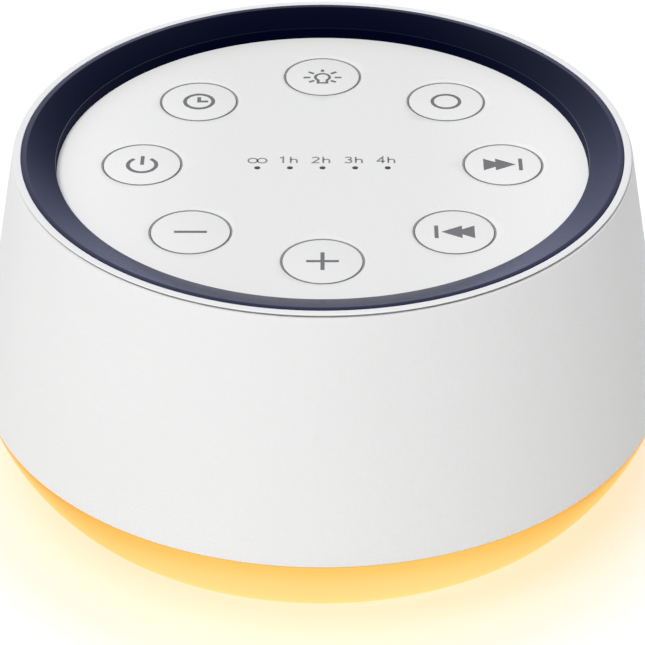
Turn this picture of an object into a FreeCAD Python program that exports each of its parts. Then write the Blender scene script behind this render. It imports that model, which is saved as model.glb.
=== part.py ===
import FreeCAD, Part
import math
import os

# White noise sound machine with eight push buttons and a night light in its base.
# The origin is the centre of the footprint on the table, +Z is up, and the front is at -Y.
# All sizes are millimetres, all angles degrees.

# Overall body
rim_height = 56.0            # top of the white rim above the table
foot_height = 1.2            # gap that the feet leave under the base plate
seam_height = 16.5           # where the shell meets the lamp bowl
shell_seam_radius = 54.1     # outside of the shell at that seam
shell_wall = 2.2

# White rim and dark ring
accent_radius = 46.0         # outside of the dark ring, which is the inside of the rim
accent_band = 0.8            # narrow flat band at the dark ring's outer edge
accent_edge = 1.2            # height of that outer edge
accent_fall = 1.46           # how far the sloping face falls from the band to its inner edge
accent_round = 0.2           # rounding of that inner edge, over the drop to the panel
accent_wall = 3.2            # thickness of the dark ring's upright
accent_flange = 1.0          # thickness of the seat under the panel's edge
accent_seat = 2.2            # width of that seat
accent_channel = 1.0         # width of the moulding channel under the dark ring
accent_roof = 2.2            # material left above the channel
rim_width = 1.15             # white rim outside the dark ring
rim_roll = 0.1               # rounded outer edge of the rim
rim_lip = 0.15               # height of the rim above the shadow groove
rim_shelf = 0.8              # thickness of the rim's seat under the dark ring
groove_height = 0.22         # shadow groove between rim and shell
groove_depth = 0.4
shell_step = 0.2             # how far the shell stands outside the rim
shell_ledge = 2.0            # thickness of the ledge that carries the dark ring
shell_ledge_width = 4.95     # reach of the ledge inside the dark ring's outside

# Panel and buttons
panel_radius = 40.8
panel_drop = 3.4             # depth of the panel below the rim
panel_thickness = 1.8
button_count = 8
button_pitch_radius = 27.7
button_radius = 5.92
button_gap = 0.24            # gap all round each button
button_edge = 0.2            # rounded edge of the button's face
button_face = 1.0            # thickness of the button's face
button_skirt = 1.0           # wall of the hollow button
button_flange = 0.8          # thickness of the flange that keeps the button in
button_flange_width = 0.75   # reach of the flange under the panel
button_stem_radius = 1.75
button_stem_length = 2.7
button_travel = 0.5

# Timer lights
timer_light_count = 5
timer_light_pitch = 5.0
timer_light_y = -1.0
timer_pin_radius = 0.45
timer_stem_radius = 0.9
timer_bar_thickness = 1.2
timer_bar_width = 3.0
timer_led_length = 1.6
timer_led_width = 0.8
timer_led_height = 0.8

# Button board and its switches
board_thickness = 1.6
button_board_radius = 37.5
button_board_screw_radius = 35.0
boss_radius = 2.5
switch_side = 6.0
switch_height = 3.1
switch_plunger_radius = 1.6
switch_plunger_length = 2.0
switch_cavity_spare = 0.4    # room left under the plunger when it is pressed home

# Lamp bowl
bowl_wall = 2.0
bowl_seam_angle = 74.3       # slope of the bowl's side where it leaves the seam
bowl_side_radius = 29.4
bowl_corner_radius = 12.0
bowl_groove_height = 0.25    # shadow groove at the seam
bowl_groove_depth = 0.5
bowl_spigot_height = 1.5     # part of the bowl that reaches up inside the shell
bowl_spigot_wall = 1.5
bowl_land = 0.8              # flat of the bowl's underside outside the base plate
bowl_ledge = 1.8             # reach of the bowl's ledge over the base plate

# Base plate, feet and screws
base_thickness = 2.0
cup_radius = 4.6             # cup over each foot
cup_rise = 1.4               # height of the cup above the base plate
cup_clearance = 0.37         # between the cups and the bowl's ledge
foot_radius = 4.0
foot_recess = 1.0            # how deep each foot sits in its cup
grille_rings = 5
grille_ring_holes = 6        # holes in the first ring; each ring has that many more
grille_margin = 2.2          # plain rim between the grille and the speaker's mouth
grille_hole_radius = 1.0

# Chassis and lamp
chassis_thickness = 2.0
chassis_opening_gap = 6.0    # between the magnet's plates and the chassis
chassis_post_radius = 3.1
lamp_board_lap = 1.0         # how far the lamp board reaches inside the reflector
lamp_board_reach = 3.0       # how far it reaches outside the reflector's floor
lamp_led_count = 12
lamp_led_inset = 3.5         # of the lamp's lights from the board's edge
lamp_led_length = 3.5
lamp_led_width = 2.8
lamp_led_height = 1.0
lamp_screw_inset = 5.5       # of the lamp board's screws from its edge
reflector_clearance = 1.0    # between the speaker and the reflector
reflector_wall = 1.0
reflector_floor = 0.8
reflector_lap = 3.0          # of the reflector's floor on the bowl
shell_boss_inset = 8.1       # of the shell's bosses from its widest line
shell_boss_radius = 3.0
shell_boss_height = 14.0
shell_boss_first_angle = 30.0

# Main board
main_board_share = 0.4261    # share of the free height that is left under the main board
main_board_inset = 7.6       # of the board's round edge from the shell's widest line
main_board_side_cut = 14.5   # cut off the board's round edge at each side
main_board_front_cut = 22.5  # and at its front
main_post_inset = 6.0        # of the board's posts from its straight edges
main_post_rear_inset = 15.5

# Power inlet, a USB type C socket
inlet_width = 8.94
inlet_height = 3.16
inlet_depth = 7.35
inlet_sheet = 0.3
inlet_tongue_width = 6.7
inlet_tongue_height = 0.7
inlet_inset = 7.1            # of the socket's mouth from the shell's widest line
inlet_overhang = 1.5         # how far the socket stands past the board's edge
recess_width = 12.8          # recess in the shell for the plug's grip
recess_height = 7.0
recess_wall = 1.2
recess_floor = 1.0

# Speaker
gasket_thickness = 0.8
speaker_clearance = 0.9      # between the speaker and the cups over the feet
speaker_flange = 1.0
speaker_flange_width = 5.8
basket_sheet = 0.8
basket_depth = 10.5
basket_taper = 4.0
spider_drop = 2.7            # how far the spider lies under the basket's back
spider_shelf = 1.3
front_plate_thickness = 1.5
terminal_land = 3.5          # room for the terminals beside the magnet
magnet_thickness = 4.0
magnet_overhang = 0.5        # how far the magnet stands outside its plates
magnet_bore_clearance = 2.0  # between the voice coil's gap and the magnet
back_plate_thickness = 1.5
pole_share = 0.457           # the pole's radius as a share of its plates'
coil_gap = 0.3               # air gap on each side of the voice coil
coil_wall = 0.5
coil_length = 7.5
cone_sheet = 0.5
cone_rise = 5.3
dust_cap_overlap = 0.7
dust_cap_rise = 1.8
dust_cap_sheet = 0.3
surround_sheet = 0.4
surround_lip = 1.0
surround_width = 3.8
spider_sheet = 0.4
spider_wave = 0.7
spider_folds = 3
cone_travel = 1.0            # each way
coil_clearance = 2.5         # left over the coil at the end of its travel

# Leads and small board parts
lead_radius = 0.6
lead_spacing = 2.6
lead_bend_radius = 4.0
lead_level_run = 5.0
ribbon_width = 12.0
ribbon_thickness = 0.3
ribbon_reach = 5.0
ribbon_socket_inset = 14.0   # of the ribbon's sockets from the main board's front edge
socket_height = 2.5
socket_depth = 4.0
terminal_thickness = 1.0
terminal_width = 2.0
chip_side = 7.0
chip_height = 1.2
chip_pitch = 14.0
chip_row_y = 16.0
capacitor_radius = 3.15
capacitor_clearance = 3.1    # under the button board
capacitor_x = 20.0
capacitor_y = 2.0

# Screws
fine_screw_radius = 0.95
fine_screw_length = 5.5
fine_head_radius = 1.8
fine_head_height = 1.2
small_screw_length = 3.0
coarse_screw_radius = 1.25
coarse_head_radius = 2.3
coarse_head_height = 1.6
coarse_screw_length = 8.0
screw_slot = 0.5

# Clearances
fit = 0.05                   # between pieces pushed together
slack = 0.3                  # round a piece that passes through another
button_stop = 0.1            # between the button's flange and the panel


# Heights worked out from the rim downwards
shelf_top = rim_height - accent_edge
rim_seat = shelf_top - rim_shelf
shell_top = rim_height - rim_lip - groove_height
panel_top = rim_height - panel_drop
panel_bottom = panel_top - panel_thickness
ledge_top = panel_bottom - accent_flange
ledge_bottom = ledge_top - shell_ledge
button_flange_top = panel_bottom - button_stop
button_flange_bottom = button_flange_top - button_flange
plunger_top = button_flange_bottom - button_stem_length
switch_top = plunger_top - button_travel - slack
button_board_top = switch_top - switch_height
button_board_bottom = button_board_top - board_thickness

# Heights worked out from the table upwards
base_top = foot_height + base_thickness
cup_top = base_top + cup_rise
chassis_bottom = seam_height + bowl_spigot_height
chassis_top = chassis_bottom + chassis_thickness
lamp_board_bottom = chassis_bottom - board_thickness
flange_bottom = base_top + gasket_thickness
flange_top = flange_bottom + speaker_flange
basket_back = flange_top + basket_depth
front_plate_top = basket_back + front_plate_thickness
magnet_top = front_plate_top + magnet_thickness
yoke_top = magnet_top + back_plate_thickness
spider_top = basket_back - spider_drop
coil_top = magnet_top - coil_clearance - cone_travel
coil_bottom = coil_top - coil_length
board_room = button_board_bottom - yoke_top - board_thickness
main_board_bottom = yoke_top + main_board_share * board_room
main_board_top = main_board_bottom + board_thickness
inlet_z = main_board_top + inlet_height / 2

# Radii worked out from those above
rim_radius = accent_radius + rim_width
rim_neck_radius = rim_radius - groove_depth
shell_top_radius = rim_radius + shell_step
ledge_radius = accent_radius - rim_width - shell_ledge_width
accent_foot_radius = panel_radius + accent_wall
accent_seat_radius = panel_radius - accent_seat
accent_screw_radius = panel_radius + accent_wall / 2
shell_boss_pitch_radius = shell_seam_radius - shell_boss_inset
inlet_face_y = shell_seam_radius - inlet_inset
board_rear = inlet_face_y - inlet_overhang
main_board_radius = shell_seam_radius - main_board_inset
main_board_half_width = main_board_radius - main_board_side_cut
main_board_front = main_board_front_cut - main_board_radius
main_post_x = main_board_half_width - main_post_inset
main_post_front_y = main_board_front + main_post_inset
main_post_rear_y = board_rear - main_post_rear_inset
ribbon_socket_y = main_board_front + ribbon_socket_inset

# The lamp bowl's two arcs: a large one down its side and a smaller one into its underside
side_lean = math.radians(bowl_seam_angle)
side_centre = (shell_seam_radius - bowl_side_radius * math.sin(side_lean),
               seam_height + bowl_side_radius * math.cos(side_lean))
corner_z = foot_height + bowl_corner_radius
centre_drop = side_centre[1] - corner_z
centre_reach = math.sqrt((bowl_side_radius - bowl_corner_radius) ** 2 - centre_drop ** 2)
corner_centre = (side_centre[0] + centre_reach, corner_z)
knee_angle = math.atan2(-centre_drop, centre_reach)

# Radii that follow from the bowl inwards: base plate, feet, speaker, lamp
base_radius = corner_centre[0] - bowl_land
bowl_ledge_radius = base_radius - bowl_ledge
base_screw_radius = bowl_ledge_radius - cup_clearance - cup_radius
speaker_radius = base_screw_radius - cup_radius - speaker_clearance
speaker_screw_radius = speaker_radius - fine_head_radius
basket_mouth_radius = speaker_radius - speaker_flange_width
basket_wall_radius = basket_mouth_radius + surround_lip + slack
basket_neck_radius = basket_wall_radius - basket_taper
grille_ring_pitch = (basket_mouth_radius - grille_margin) / grille_rings
cone_radius = basket_mouth_radius - surround_width
front_plate_radius = basket_neck_radius - terminal_land
magnet_radius = front_plate_radius + magnet_overhang
pole_radius = pole_share * front_plate_radius
coil_inner_radius = pole_radius + coil_gap
coil_outer_radius = coil_inner_radius + coil_wall
gap_radius = coil_outer_radius + coil_gap
magnet_bore_radius = gap_radius + magnet_bore_clearance
chassis_opening_radius = front_plate_radius + chassis_opening_gap
reflector_inner_radius = speaker_radius + reflector_clearance
reflector_radius = bowl_ledge_radius + reflector_lap
lamp_board_inner_radius = reflector_inner_radius - lamp_board_lap
lamp_board_outer_radius = reflector_radius + lamp_board_reach
lamp_led_radius = lamp_board_outer_radius - lamp_led_inset
lamp_screw_radius = lamp_board_outer_radius - lamp_screw_inset


def shell_radius(z):
    """Outer radius of the tapered side at height z."""
    share = (z - seam_height) / (shell_top - seam_height)
    return shell_seam_radius + share * (shell_top_radius - shell_seam_radius)


def polar(radius, angle):
    """X and Y of a point at a distance and an angle from the axis."""
    return radius * math.cos(math.radians(angle)), radius * math.sin(math.radians(angle))


def ring_places(radius, count, first_angle):
    """Evenly spaced places on a circle round the axis."""
    return [polar(radius, first_angle + 360.0 * i / count) for i in range(count)]


def cylinder(x, y, low, high, radius):
    return Part.makeCylinder(radius, high - low, FreeCAD.Vector(x, y, low))


def tube(low, high, outer_radius, inner_radius):
    return cylinder(0, 0, low, high, outer_radius).cut(cylinder(0, 0, low, high, inner_radius))


def block(x_low, x_high, y_low, y_high, z_low, z_high):
    corner = FreeCAD.Vector(x_low, y_low, z_low)
    return Part.makeBox(x_high - x_low, y_high - y_low, z_high - z_low, corner)


def block_on(x, y, length, width, low, high):
    """A block centred at x, y, from height low to high."""
    return block(x - length / 2, x + length / 2, y - width / 2, y + width / 2, low, high)


def section_point(radius, z):
    return FreeCAD.Vector(radius, 0, z)


def lathe_wire(edges):
    """Turn a closed outline of edges in the XZ plane round the axis."""
    face = Part.Face(Part.Wire(edges))
    return face.revolve(FreeCAD.Vector(0, 0, 0), FreeCAD.Vector(0, 0, 1), 360)


def line(start, end):
    return Part.LineSegment(section_point(*start), section_point(*end)).toShape()


def lines(points):
    """Straight edges through a row of section points."""
    return [line(a, b) for a, b in zip(points, points[1:])]


def arc(start, middle, end):
    return Part.Arc(section_point(*start), section_point(*middle), section_point(*end)).toShape()


def lathe(points):
    return lathe_wire(lines(points + points[:1]))


def group(shapes):
    return Part.makeCompound(shapes)


def fused(first, others):
    return first.multiFuse(others).removeSplitter()


def without(shape, others):
    return shape.cut(others)


def stadium(width, height, y_low, y_high, z):
    """A bar along Y whose section is a flat oval, centred on the rear plane at height z."""
    half = (width - height) / 2
    ends = []
    for x in (-half, half):
        start = FreeCAD.Vector(x, y_low, z)
        ends.append(Part.makeCylinder(height / 2, y_high - y_low, start, FreeCAD.Vector(0, 1, 0)))
    middle = block(-half, half, y_low, y_high, z - height / 2, z + height / 2)
    return fused(middle, ends)


def screw(x, y, seat, head_radius, head_height, radius, length, up):
    """A pan-head screw with a cross slot. Its head lies against the height seat, and its
    shank runs up from there or, where up is False, down."""
    way = 1 if up else -1
    head_end = seat - way * head_height
    shank_end = seat + way * length
    head = cylinder(x, y, min(seat, head_end), max(seat, head_end), head_radius)
    shank = cylinder(x, y, min(seat, shank_end), max(seat, shank_end), radius)
    slot_end = head_end + way * head_height / 2
    low, high = min(head_end, slot_end), max(head_end, slot_end)
    cross = [
        block_on(x, y, head_radius * 1.2, screw_slot, low, high),
        block_on(x, y, screw_slot, head_radius * 1.2, low, high),
    ]
    return without(fused(head, [shank]), cross)


def fine_screw(x, y, seat, length, up=True):
    return screw(x, y, seat, fine_head_radius, fine_head_height, fine_screw_radius, length, up)


def coarse_screw(x, y, seat, up=True):
    return screw(x, y, seat, coarse_head_radius, coarse_head_height, coarse_screw_radius,
                 coarse_screw_length, up)


def pilot(x, y, low, high, radius):
    """The hole that a screw of this radius runs in."""
    return cylinder(x, y, low, high, radius + fit)


parts = {}

button_names = [
    "sound_button", "next_button", "previous_button", "volume_up_button",
    "volume_down_button", "power_button", "timer_button", "light_button",
]
button_angles = [45.0 - 360.0 * i / button_count for i in range(button_count)]
button_places = [polar(button_pitch_radius, angle) for angle in button_angles]
button_board_screw_places = ring_places(button_board_screw_radius, 4, 22.5)
base_screw_places = ring_places(base_screw_radius, 4, 45.0)
shell_boss_angles = [shell_boss_first_angle, 180 - shell_boss_first_angle,
                     180 + shell_boss_first_angle, -shell_boss_first_angle]
shell_boss_places = [polar(shell_boss_pitch_radius, angle) for angle in shell_boss_angles]
accent_screw_places = ring_places(accent_screw_radius, 4, 45.0)
speaker_screw_places = ring_places(speaker_screw_radius, 4, 0.0)
lamp_screw_places = ring_places(lamp_screw_radius, 4, 0.0)
main_post_places = [(x, y) for x in (-main_post_x, main_post_x)
                    for y in (main_post_front_y, main_post_rear_y)]
timer_light_places = [
    ((i - (timer_light_count - 1) / 2) * timer_light_pitch, timer_light_y)
    for i in range(timer_light_count)
]


# The outer shell: a tapered tube with a ledge near the top, four bosses, and a recess at
# the rear for the power plug.
def inner_cone(inset):
    """Solid that fills the shell's taper, less an inset."""
    low_radius = shell_radius(seam_height) - inset
    high_radius = shell_radius(rim_seat) - inset
    start = FreeCAD.Vector(0, 0, seam_height)
    return Part.makeCone(low_radius, high_radius, rim_seat - seam_height, start)


def inside_wall(z):
    return shell_radius(z) - shell_wall


shell = lathe([
    (shell_radius(seam_height), seam_height),
    (shell_top_radius, shell_top),
    (rim_neck_radius + fit, shell_top),
    (rim_neck_radius + fit, rim_seat),
    (inside_wall(rim_seat), rim_seat),
    (inside_wall(ledge_top), ledge_top),
    (ledge_radius, ledge_top),
    (ledge_radius, ledge_bottom),
    (inside_wall(ledge_bottom), ledge_bottom),
    (inside_wall(seam_height), seam_height),
])
filling = inner_cone(shell_wall / 2)
boss_top = chassis_top + shell_boss_height
shell_additions = []
for (x, y), angle in zip(shell_boss_places, shell_boss_angles):
    boss = cylinder(x, y, chassis_top, boss_top, shell_boss_radius)
    rib = block(shell_boss_pitch_radius, shell_seam_radius, -shell_boss_radius / 2,
                shell_boss_radius / 2, chassis_top, boss_top)
    rib.rotate(FreeCAD.Vector(0, 0, 0), FreeCAD.Vector(0, 0, 1), angle)
    shell_additions.append(boss.fuse(rib).common(filling))
tunnel = stadium(recess_width + 2 * recess_wall, recess_height + 2 * recess_wall,
                 inlet_face_y - recess_floor, shell_seam_radius, inlet_z)
shell_additions.append(tunnel.common(filling))
shell = fused(shell, shell_additions)
shell_cuts = [stadium(recess_width, recess_height, inlet_face_y, shell_seam_radius + 1, inlet_z)]
shell_cuts.append(stadium(inlet_width + 2 * slack, inlet_height + 2 * slack,
                          inlet_face_y - recess_floor - 1, inlet_face_y + 1, inlet_z))
for x, y in shell_boss_places:
    shell_cuts.append(pilot(x, y, chassis_top, boss_top - shell_wall, coarse_screw_radius))
for x, y in accent_screw_places:
    shell_cuts.append(cylinder(x, y, ledge_bottom, ledge_top, fine_screw_radius + slack))
parts["outer_shell"] = without(shell, shell_cuts)

# The white rim: a thin ring on the shell's top edge, under the dark ring's shoulder.
parts["rim_ring"] = lathe_wire(
    lines([
        (rim_radius, rim_height - rim_roll),
        (rim_radius, rim_height - rim_lip),
        (rim_neck_radius, rim_height - rim_lip),
        (rim_neck_radius, rim_seat),
        (accent_foot_radius + fit, rim_seat),
        (accent_foot_radius + fit, shelf_top),
        (accent_radius + fit, shelf_top),
        (accent_radius + fit, rim_height),
        (rim_radius - rim_roll, rim_height),
    ])
    + [arc(
        (rim_radius - rim_roll, rim_height),
        (rim_radius - rim_roll * (1 - math.sqrt(0.5)), rim_height - rim_roll * (1 - math.sqrt(0.5))),
        (rim_radius, rim_height - rim_roll),
    )]
)

# The dark ring: a flat outer band, a face that slopes inwards, a short drop to the panel,
# and a seat under it.
accent_inner_z = rim_height - accent_fall
slope_width = accent_radius - accent_band - panel_radius
slope_angle = math.atan2(accent_fall, slope_width)
round_turn = (math.pi / 2 - slope_angle) / 2
round_reach = accent_round * math.tan(round_turn)
round_centre = (panel_radius + accent_round, accent_inner_z - round_reach)
round_way = math.pi / 2 + slope_angle + round_turn
accent = lathe_wire(
    lines([
        (panel_radius, accent_inner_z - round_reach),
        (panel_radius, panel_bottom),
        (accent_seat_radius, panel_bottom),
        (accent_seat_radius, ledge_top),
        (accent_foot_radius, ledge_top),
        (accent_foot_radius, shelf_top),
        (accent_radius, shelf_top),
        (accent_radius, rim_height),
        (accent_radius - accent_band, rim_height),
        (panel_radius + round_reach * math.cos(slope_angle),
         accent_inner_z + round_reach * math.sin(slope_angle)),
    ])
    + [arc(
        (panel_radius + round_reach * math.cos(slope_angle),
         accent_inner_z + round_reach * math.sin(slope_angle)),
        (round_centre[0] + accent_round * math.cos(round_way),
         round_centre[1] + accent_round * math.sin(round_way)),
        (panel_radius, accent_inner_z - round_reach),
    )]
)
channel_top = rim_height - accent_roof
channel = tube(ledge_top, channel_top, accent_screw_radius + accent_channel / 2,
               accent_screw_radius - accent_channel / 2)
channel = without(channel, [cylinder(x, y, ledge_top, channel_top, boss_radius)
                            for x, y in accent_screw_places])
accent_pilots = [pilot(x, y, ledge_top, channel_top, fine_screw_radius)
                 for x, y in accent_screw_places]
parts["accent_ring"] = without(accent, [channel] + accent_pilots)
parts["ring_screws"] = group([fine_screw(x, y, ledge_bottom, fine_screw_length)
                              for x, y in accent_screw_places])

# The top panel: a disc with a hole for each button and each timer light, and four bosses
# that carry the button board.
button_hole_radius = button_radius + button_gap
panel = cylinder(0, 0, panel_bottom, panel_top, panel_radius - fit)
panel = fused(panel, [cylinder(x, y, button_board_top, panel_bottom, boss_radius)
                      for x, y in button_board_screw_places])
panel_cuts = [cylinder(x, y, panel_bottom, panel_top, button_hole_radius) for x, y in button_places]
panel_cuts += [cylinder(x, y, panel_bottom, panel_top, timer_pin_radius + fit)
               for x, y in timer_light_places]
panel_cuts += [pilot(x, y, button_board_top, panel_bottom, fine_screw_radius)
               for x, y in button_board_screw_places]
parts["top_panel"] = without(panel, panel_cuts)


# The buttons: hollow round caps with a flange under the panel and a stem on the switch.
def button_cap(x, y):
    cap = lathe_wire(
        lines([
            (button_radius, panel_top - button_edge),
            (button_radius, button_flange_top),
            (button_hole_radius + button_flange_width, button_flange_top),
            (button_hole_radius + button_flange_width, button_flange_bottom),
            (button_radius - button_skirt, button_flange_bottom),
            (button_radius - button_skirt, panel_top - button_face),
            (button_stem_radius, panel_top - button_face),
            (button_stem_radius, plunger_top),
            (0, plunger_top),
            (0, panel_top),
            (button_radius - button_edge, panel_top),
        ])
        + [arc(
            (button_radius - button_edge, panel_top),
            (button_radius - button_edge * (1 - math.sqrt(0.5)),
             panel_top - button_edge * (1 - math.sqrt(0.5))),
            (button_radius, panel_top - button_edge),
        )]
    )
    cap.translate(FreeCAD.Vector(x, y, 0))
    return cap


plunger_bottom = plunger_top - switch_plunger_length
cavity_bottom = plunger_bottom - button_travel - switch_cavity_spare
switch_bodies = []
for name, (x, y) in zip(button_names, button_places):
    parts[name] = button_cap(x, y)
    parts[name.replace("button", "switch_plunger")] = cylinder(
        x, y, plunger_bottom, plunger_top, switch_plunger_radius)
    body = block_on(x, y, switch_side, switch_side, button_board_top, switch_top)
    well = cylinder(x, y, cavity_bottom, switch_top, switch_plunger_radius + 2 * fit)
    switch_bodies.append(without(body, [well]))
parts["switch_bodies"] = group(switch_bodies)

# The button board and what it carries.
button_board = cylinder(0, 0, button_board_bottom, button_board_top, button_board_radius)
parts["button_board"] = without(button_board, [
    cylinder(x, y, button_board_bottom, button_board_top, fine_screw_radius + slack)
    for x, y in button_board_screw_places
])
parts["button_board_screws"] = group([
    fine_screw(x, y, button_board_bottom, fine_screw_length)
    for x, y in button_board_screw_places
])
timer_led_top = button_board_top + timer_led_height
parts["timer_leds"] = group([
    block_on(x, y, timer_led_length, timer_led_width, button_board_top, timer_led_top)
    for x, y in timer_light_places
])
timer_bar_length = (timer_light_count - 1) * timer_light_pitch + timer_bar_width
bar_bottom = panel_bottom - timer_bar_thickness
bar = block_on(0, timer_light_y, timer_bar_length, timer_bar_width, bar_bottom, panel_bottom)
guides = []
for x, y in timer_light_places:
    guides.append(cylinder(x, y, panel_bottom, panel_top, timer_pin_radius))
    guides.append(cylinder(x, y, timer_led_top + slack, bar_bottom, timer_stem_radius))
parts["timer_light_guide"] = fused(bar, guides)

# The chassis: a bulkhead above the lamp, with four posts down to the base plate and four
# posts up to the main board.
chassis = tube(chassis_bottom, chassis_top, inside_wall(chassis_top) - fit,
               chassis_opening_radius)
main_posts = [cylinder(x, y, chassis_top, main_board_bottom, boss_radius)
              for x, y in main_post_places]
base_posts = [cylinder(x, y, cup_top, chassis_bottom, chassis_post_radius)
              for x, y in base_screw_places]
chassis = fused(chassis, main_posts + base_posts)
lead_hole_y = main_board_front - lead_bend_radius - lead_level_run
lead_hole = block_on(0, lead_hole_y, lead_spacing + 4 * lead_radius, 4 * lead_radius,
                     chassis_bottom, chassis_top)
chassis_cuts = [lead_hole]
for x, y in main_post_places:
    chassis_cuts.append(pilot(x, y, chassis_top, main_board_bottom, fine_screw_radius))
for x, y in base_screw_places:
    chassis_cuts.append(pilot(x, y, cup_top, chassis_bottom, coarse_screw_radius))
for x, y in shell_boss_places:
    chassis_cuts.append(cylinder(x, y, chassis_bottom, chassis_top, coarse_screw_radius + slack))
for x, y in lamp_screw_places:
    chassis_cuts.append(pilot(x, y, chassis_bottom, chassis_top, fine_screw_radius))
parts["inner_chassis"] = without(chassis, chassis_cuts)
parts["chassis_screws"] = group([coarse_screw(x, y, chassis_bottom)
                                 for x, y in shell_boss_places])

# The lamp: a ring board under the bulkhead, its lights, and a white reflector.
lamp_board = tube(lamp_board_bottom, chassis_bottom, lamp_board_outer_radius,
                  lamp_board_inner_radius)
lamp_cuts = [cylinder(x, y, lamp_board_bottom, chassis_bottom, chassis_post_radius + slack)
             for x, y in base_screw_places]
lamp_cuts += [cylinder(x, y, lamp_board_bottom, chassis_bottom, fine_screw_radius + slack)
              for x, y in lamp_screw_places]
parts["lamp_board"] = without(lamp_board, lamp_cuts)
lamp_leds = []
for i in range(lamp_led_count):
    turn = (i + 0.5) * 360.0 / lamp_led_count
    led = block_on(lamp_led_radius, 0, lamp_led_width, lamp_led_length,
                   lamp_board_bottom - lamp_led_height, lamp_board_bottom)
    led.rotate(FreeCAD.Vector(0, 0, 0), FreeCAD.Vector(0, 0, 1), turn)
    lamp_leds.append(led)
parts["lamp_leds"] = group(lamp_leds)
parts["lamp_board_screws"] = group([fine_screw(x, y, lamp_board_bottom, small_screw_length)
                                    for x, y in lamp_screw_places])
reflector = lathe([
    (reflector_inner_radius, cup_top),
    (reflector_radius, cup_top),
    (reflector_radius, cup_top + reflector_floor),
    (reflector_inner_radius + reflector_wall, cup_top + reflector_floor),
    (reflector_inner_radius + reflector_wall, lamp_board_bottom),
    (reflector_inner_radius, lamp_board_bottom),
])
parts["light_reflector"] = without(reflector, [
    cylinder(x, y, cup_top, lamp_board_bottom, chassis_post_radius + slack)
    for x, y in base_screw_places
])


# The lamp bowl: both arcs have the same centres inside and outside, so the wall is even.
def on_circle(centre, radius, angle):
    return centre[0] + radius * math.cos(angle), centre[1] + radius * math.sin(angle)


def side_angle(z, inset):
    """Angle round the side arc's centre of its point at height z."""
    return math.asin((z - side_centre[1]) / (bowl_side_radius - inset))


def side_arc(z, inset):
    """The bowl's side from height z down to the knee, inset from its outside."""
    radius = bowl_side_radius - inset
    first = side_angle(z, inset)
    return arc(on_circle(side_centre, radius, first),
               on_circle(side_centre, radius, (first + knee_angle) / 2),
               on_circle(side_centre, radius, knee_angle))


def corner_arc(z, inset):
    """The bowl's corner from the knee down to height z, inset from its outside."""
    radius = bowl_corner_radius - inset
    last = math.asin(max(-1.0, (z - corner_centre[1]) / radius))
    return arc(on_circle(corner_centre, radius, knee_angle),
               on_circle(corner_centre, radius, (knee_angle + last) / 2),
               on_circle(corner_centre, radius, last))


bowl_lip_z = seam_height - bowl_groove_height
bowl_lip = on_circle(side_centre, bowl_side_radius, side_angle(bowl_lip_z, 0))
spigot_root = seam_height - bowl_spigot_height
spigot_radius = inside_wall(chassis_bottom) - fit
inner_top = on_circle(side_centre, bowl_side_radius - bowl_wall,
                      side_angle(spigot_root, bowl_wall))
inner_toe = on_circle(corner_centre, bowl_corner_radius - bowl_wall,
                      math.asin((cup_top - corner_centre[1]) / (bowl_corner_radius - bowl_wall)))
parts["diffuser_bowl"] = lathe_wire(
    [side_arc(bowl_lip_z, 0), corner_arc(foot_height, 0)]
    + lines([
        (corner_centre[0], foot_height),
        (base_radius + fit, foot_height),
        (base_radius + fit, base_top),
        (bowl_ledge_radius, base_top),
        (bowl_ledge_radius, cup_top),
        inner_toe,
    ])
    + [corner_arc(cup_top, bowl_wall), side_arc(spigot_root, bowl_wall)]
    + lines([
        inner_top,
        (spigot_radius - bowl_spigot_wall, spigot_root),
        (spigot_radius - bowl_spigot_wall, chassis_bottom),
        (spigot_radius, chassis_bottom),
        (spigot_radius, seam_height),
        (shell_seam_radius - bowl_groove_depth, seam_height),
        (shell_seam_radius - bowl_groove_depth, bowl_lip_z),
        bowl_lip,
    ])
)

# The base plate: a disc with the speaker grille, four cups over the feet, and bosses for
# the speaker's screws.
base = cylinder(0, 0, foot_height, base_top, base_radius)
cups = [cylinder(x, y, foot_height, cup_top, cup_radius) for x, y in base_screw_places]
speaker_bosses = [cylinder(x, y, base_top, flange_bottom, fine_head_radius)
                  for x, y in speaker_screw_places]
base = fused(base, cups + speaker_bosses)
foot_top = foot_height + foot_recess
screw_seat = foot_top + coarse_head_height
base_cuts = [cylinder(0, 0, foot_height, base_top, grille_hole_radius)]
for ring in range(1, grille_rings + 1):
    base_cuts += [cylinder(x, y, foot_height, base_top, grille_hole_radius)
                  for x, y in ring_places(ring * grille_ring_pitch, ring * grille_ring_holes, 0.0)]
for x, y in base_screw_places:
    base_cuts.append(cylinder(x, y, foot_height, foot_top, foot_radius + 2 * fit))
    base_cuts.append(cylinder(x, y, foot_top, screw_seat, coarse_head_radius + slack))
    base_cuts.append(cylinder(x, y, screw_seat, cup_top, coarse_screw_radius + slack))
speaker_pilot_bottom = flange_top - small_screw_length - fit
for x, y in speaker_screw_places:
    base_cuts.append(pilot(x, y, speaker_pilot_bottom, flange_bottom, fine_screw_radius))
parts["base_plate"] = without(base, base_cuts)
parts["base_screws"] = group([coarse_screw(x, y, screw_seat) for x, y in base_screw_places])
feet = []
for x, y in base_screw_places:
    foot = cylinder(x, y, 0, foot_top, foot_radius)
    feet.append(foot.makeFillet(foot_height / 2, [foot.Edges[2]]))
parts["rubber_feet"] = group(feet)

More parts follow.
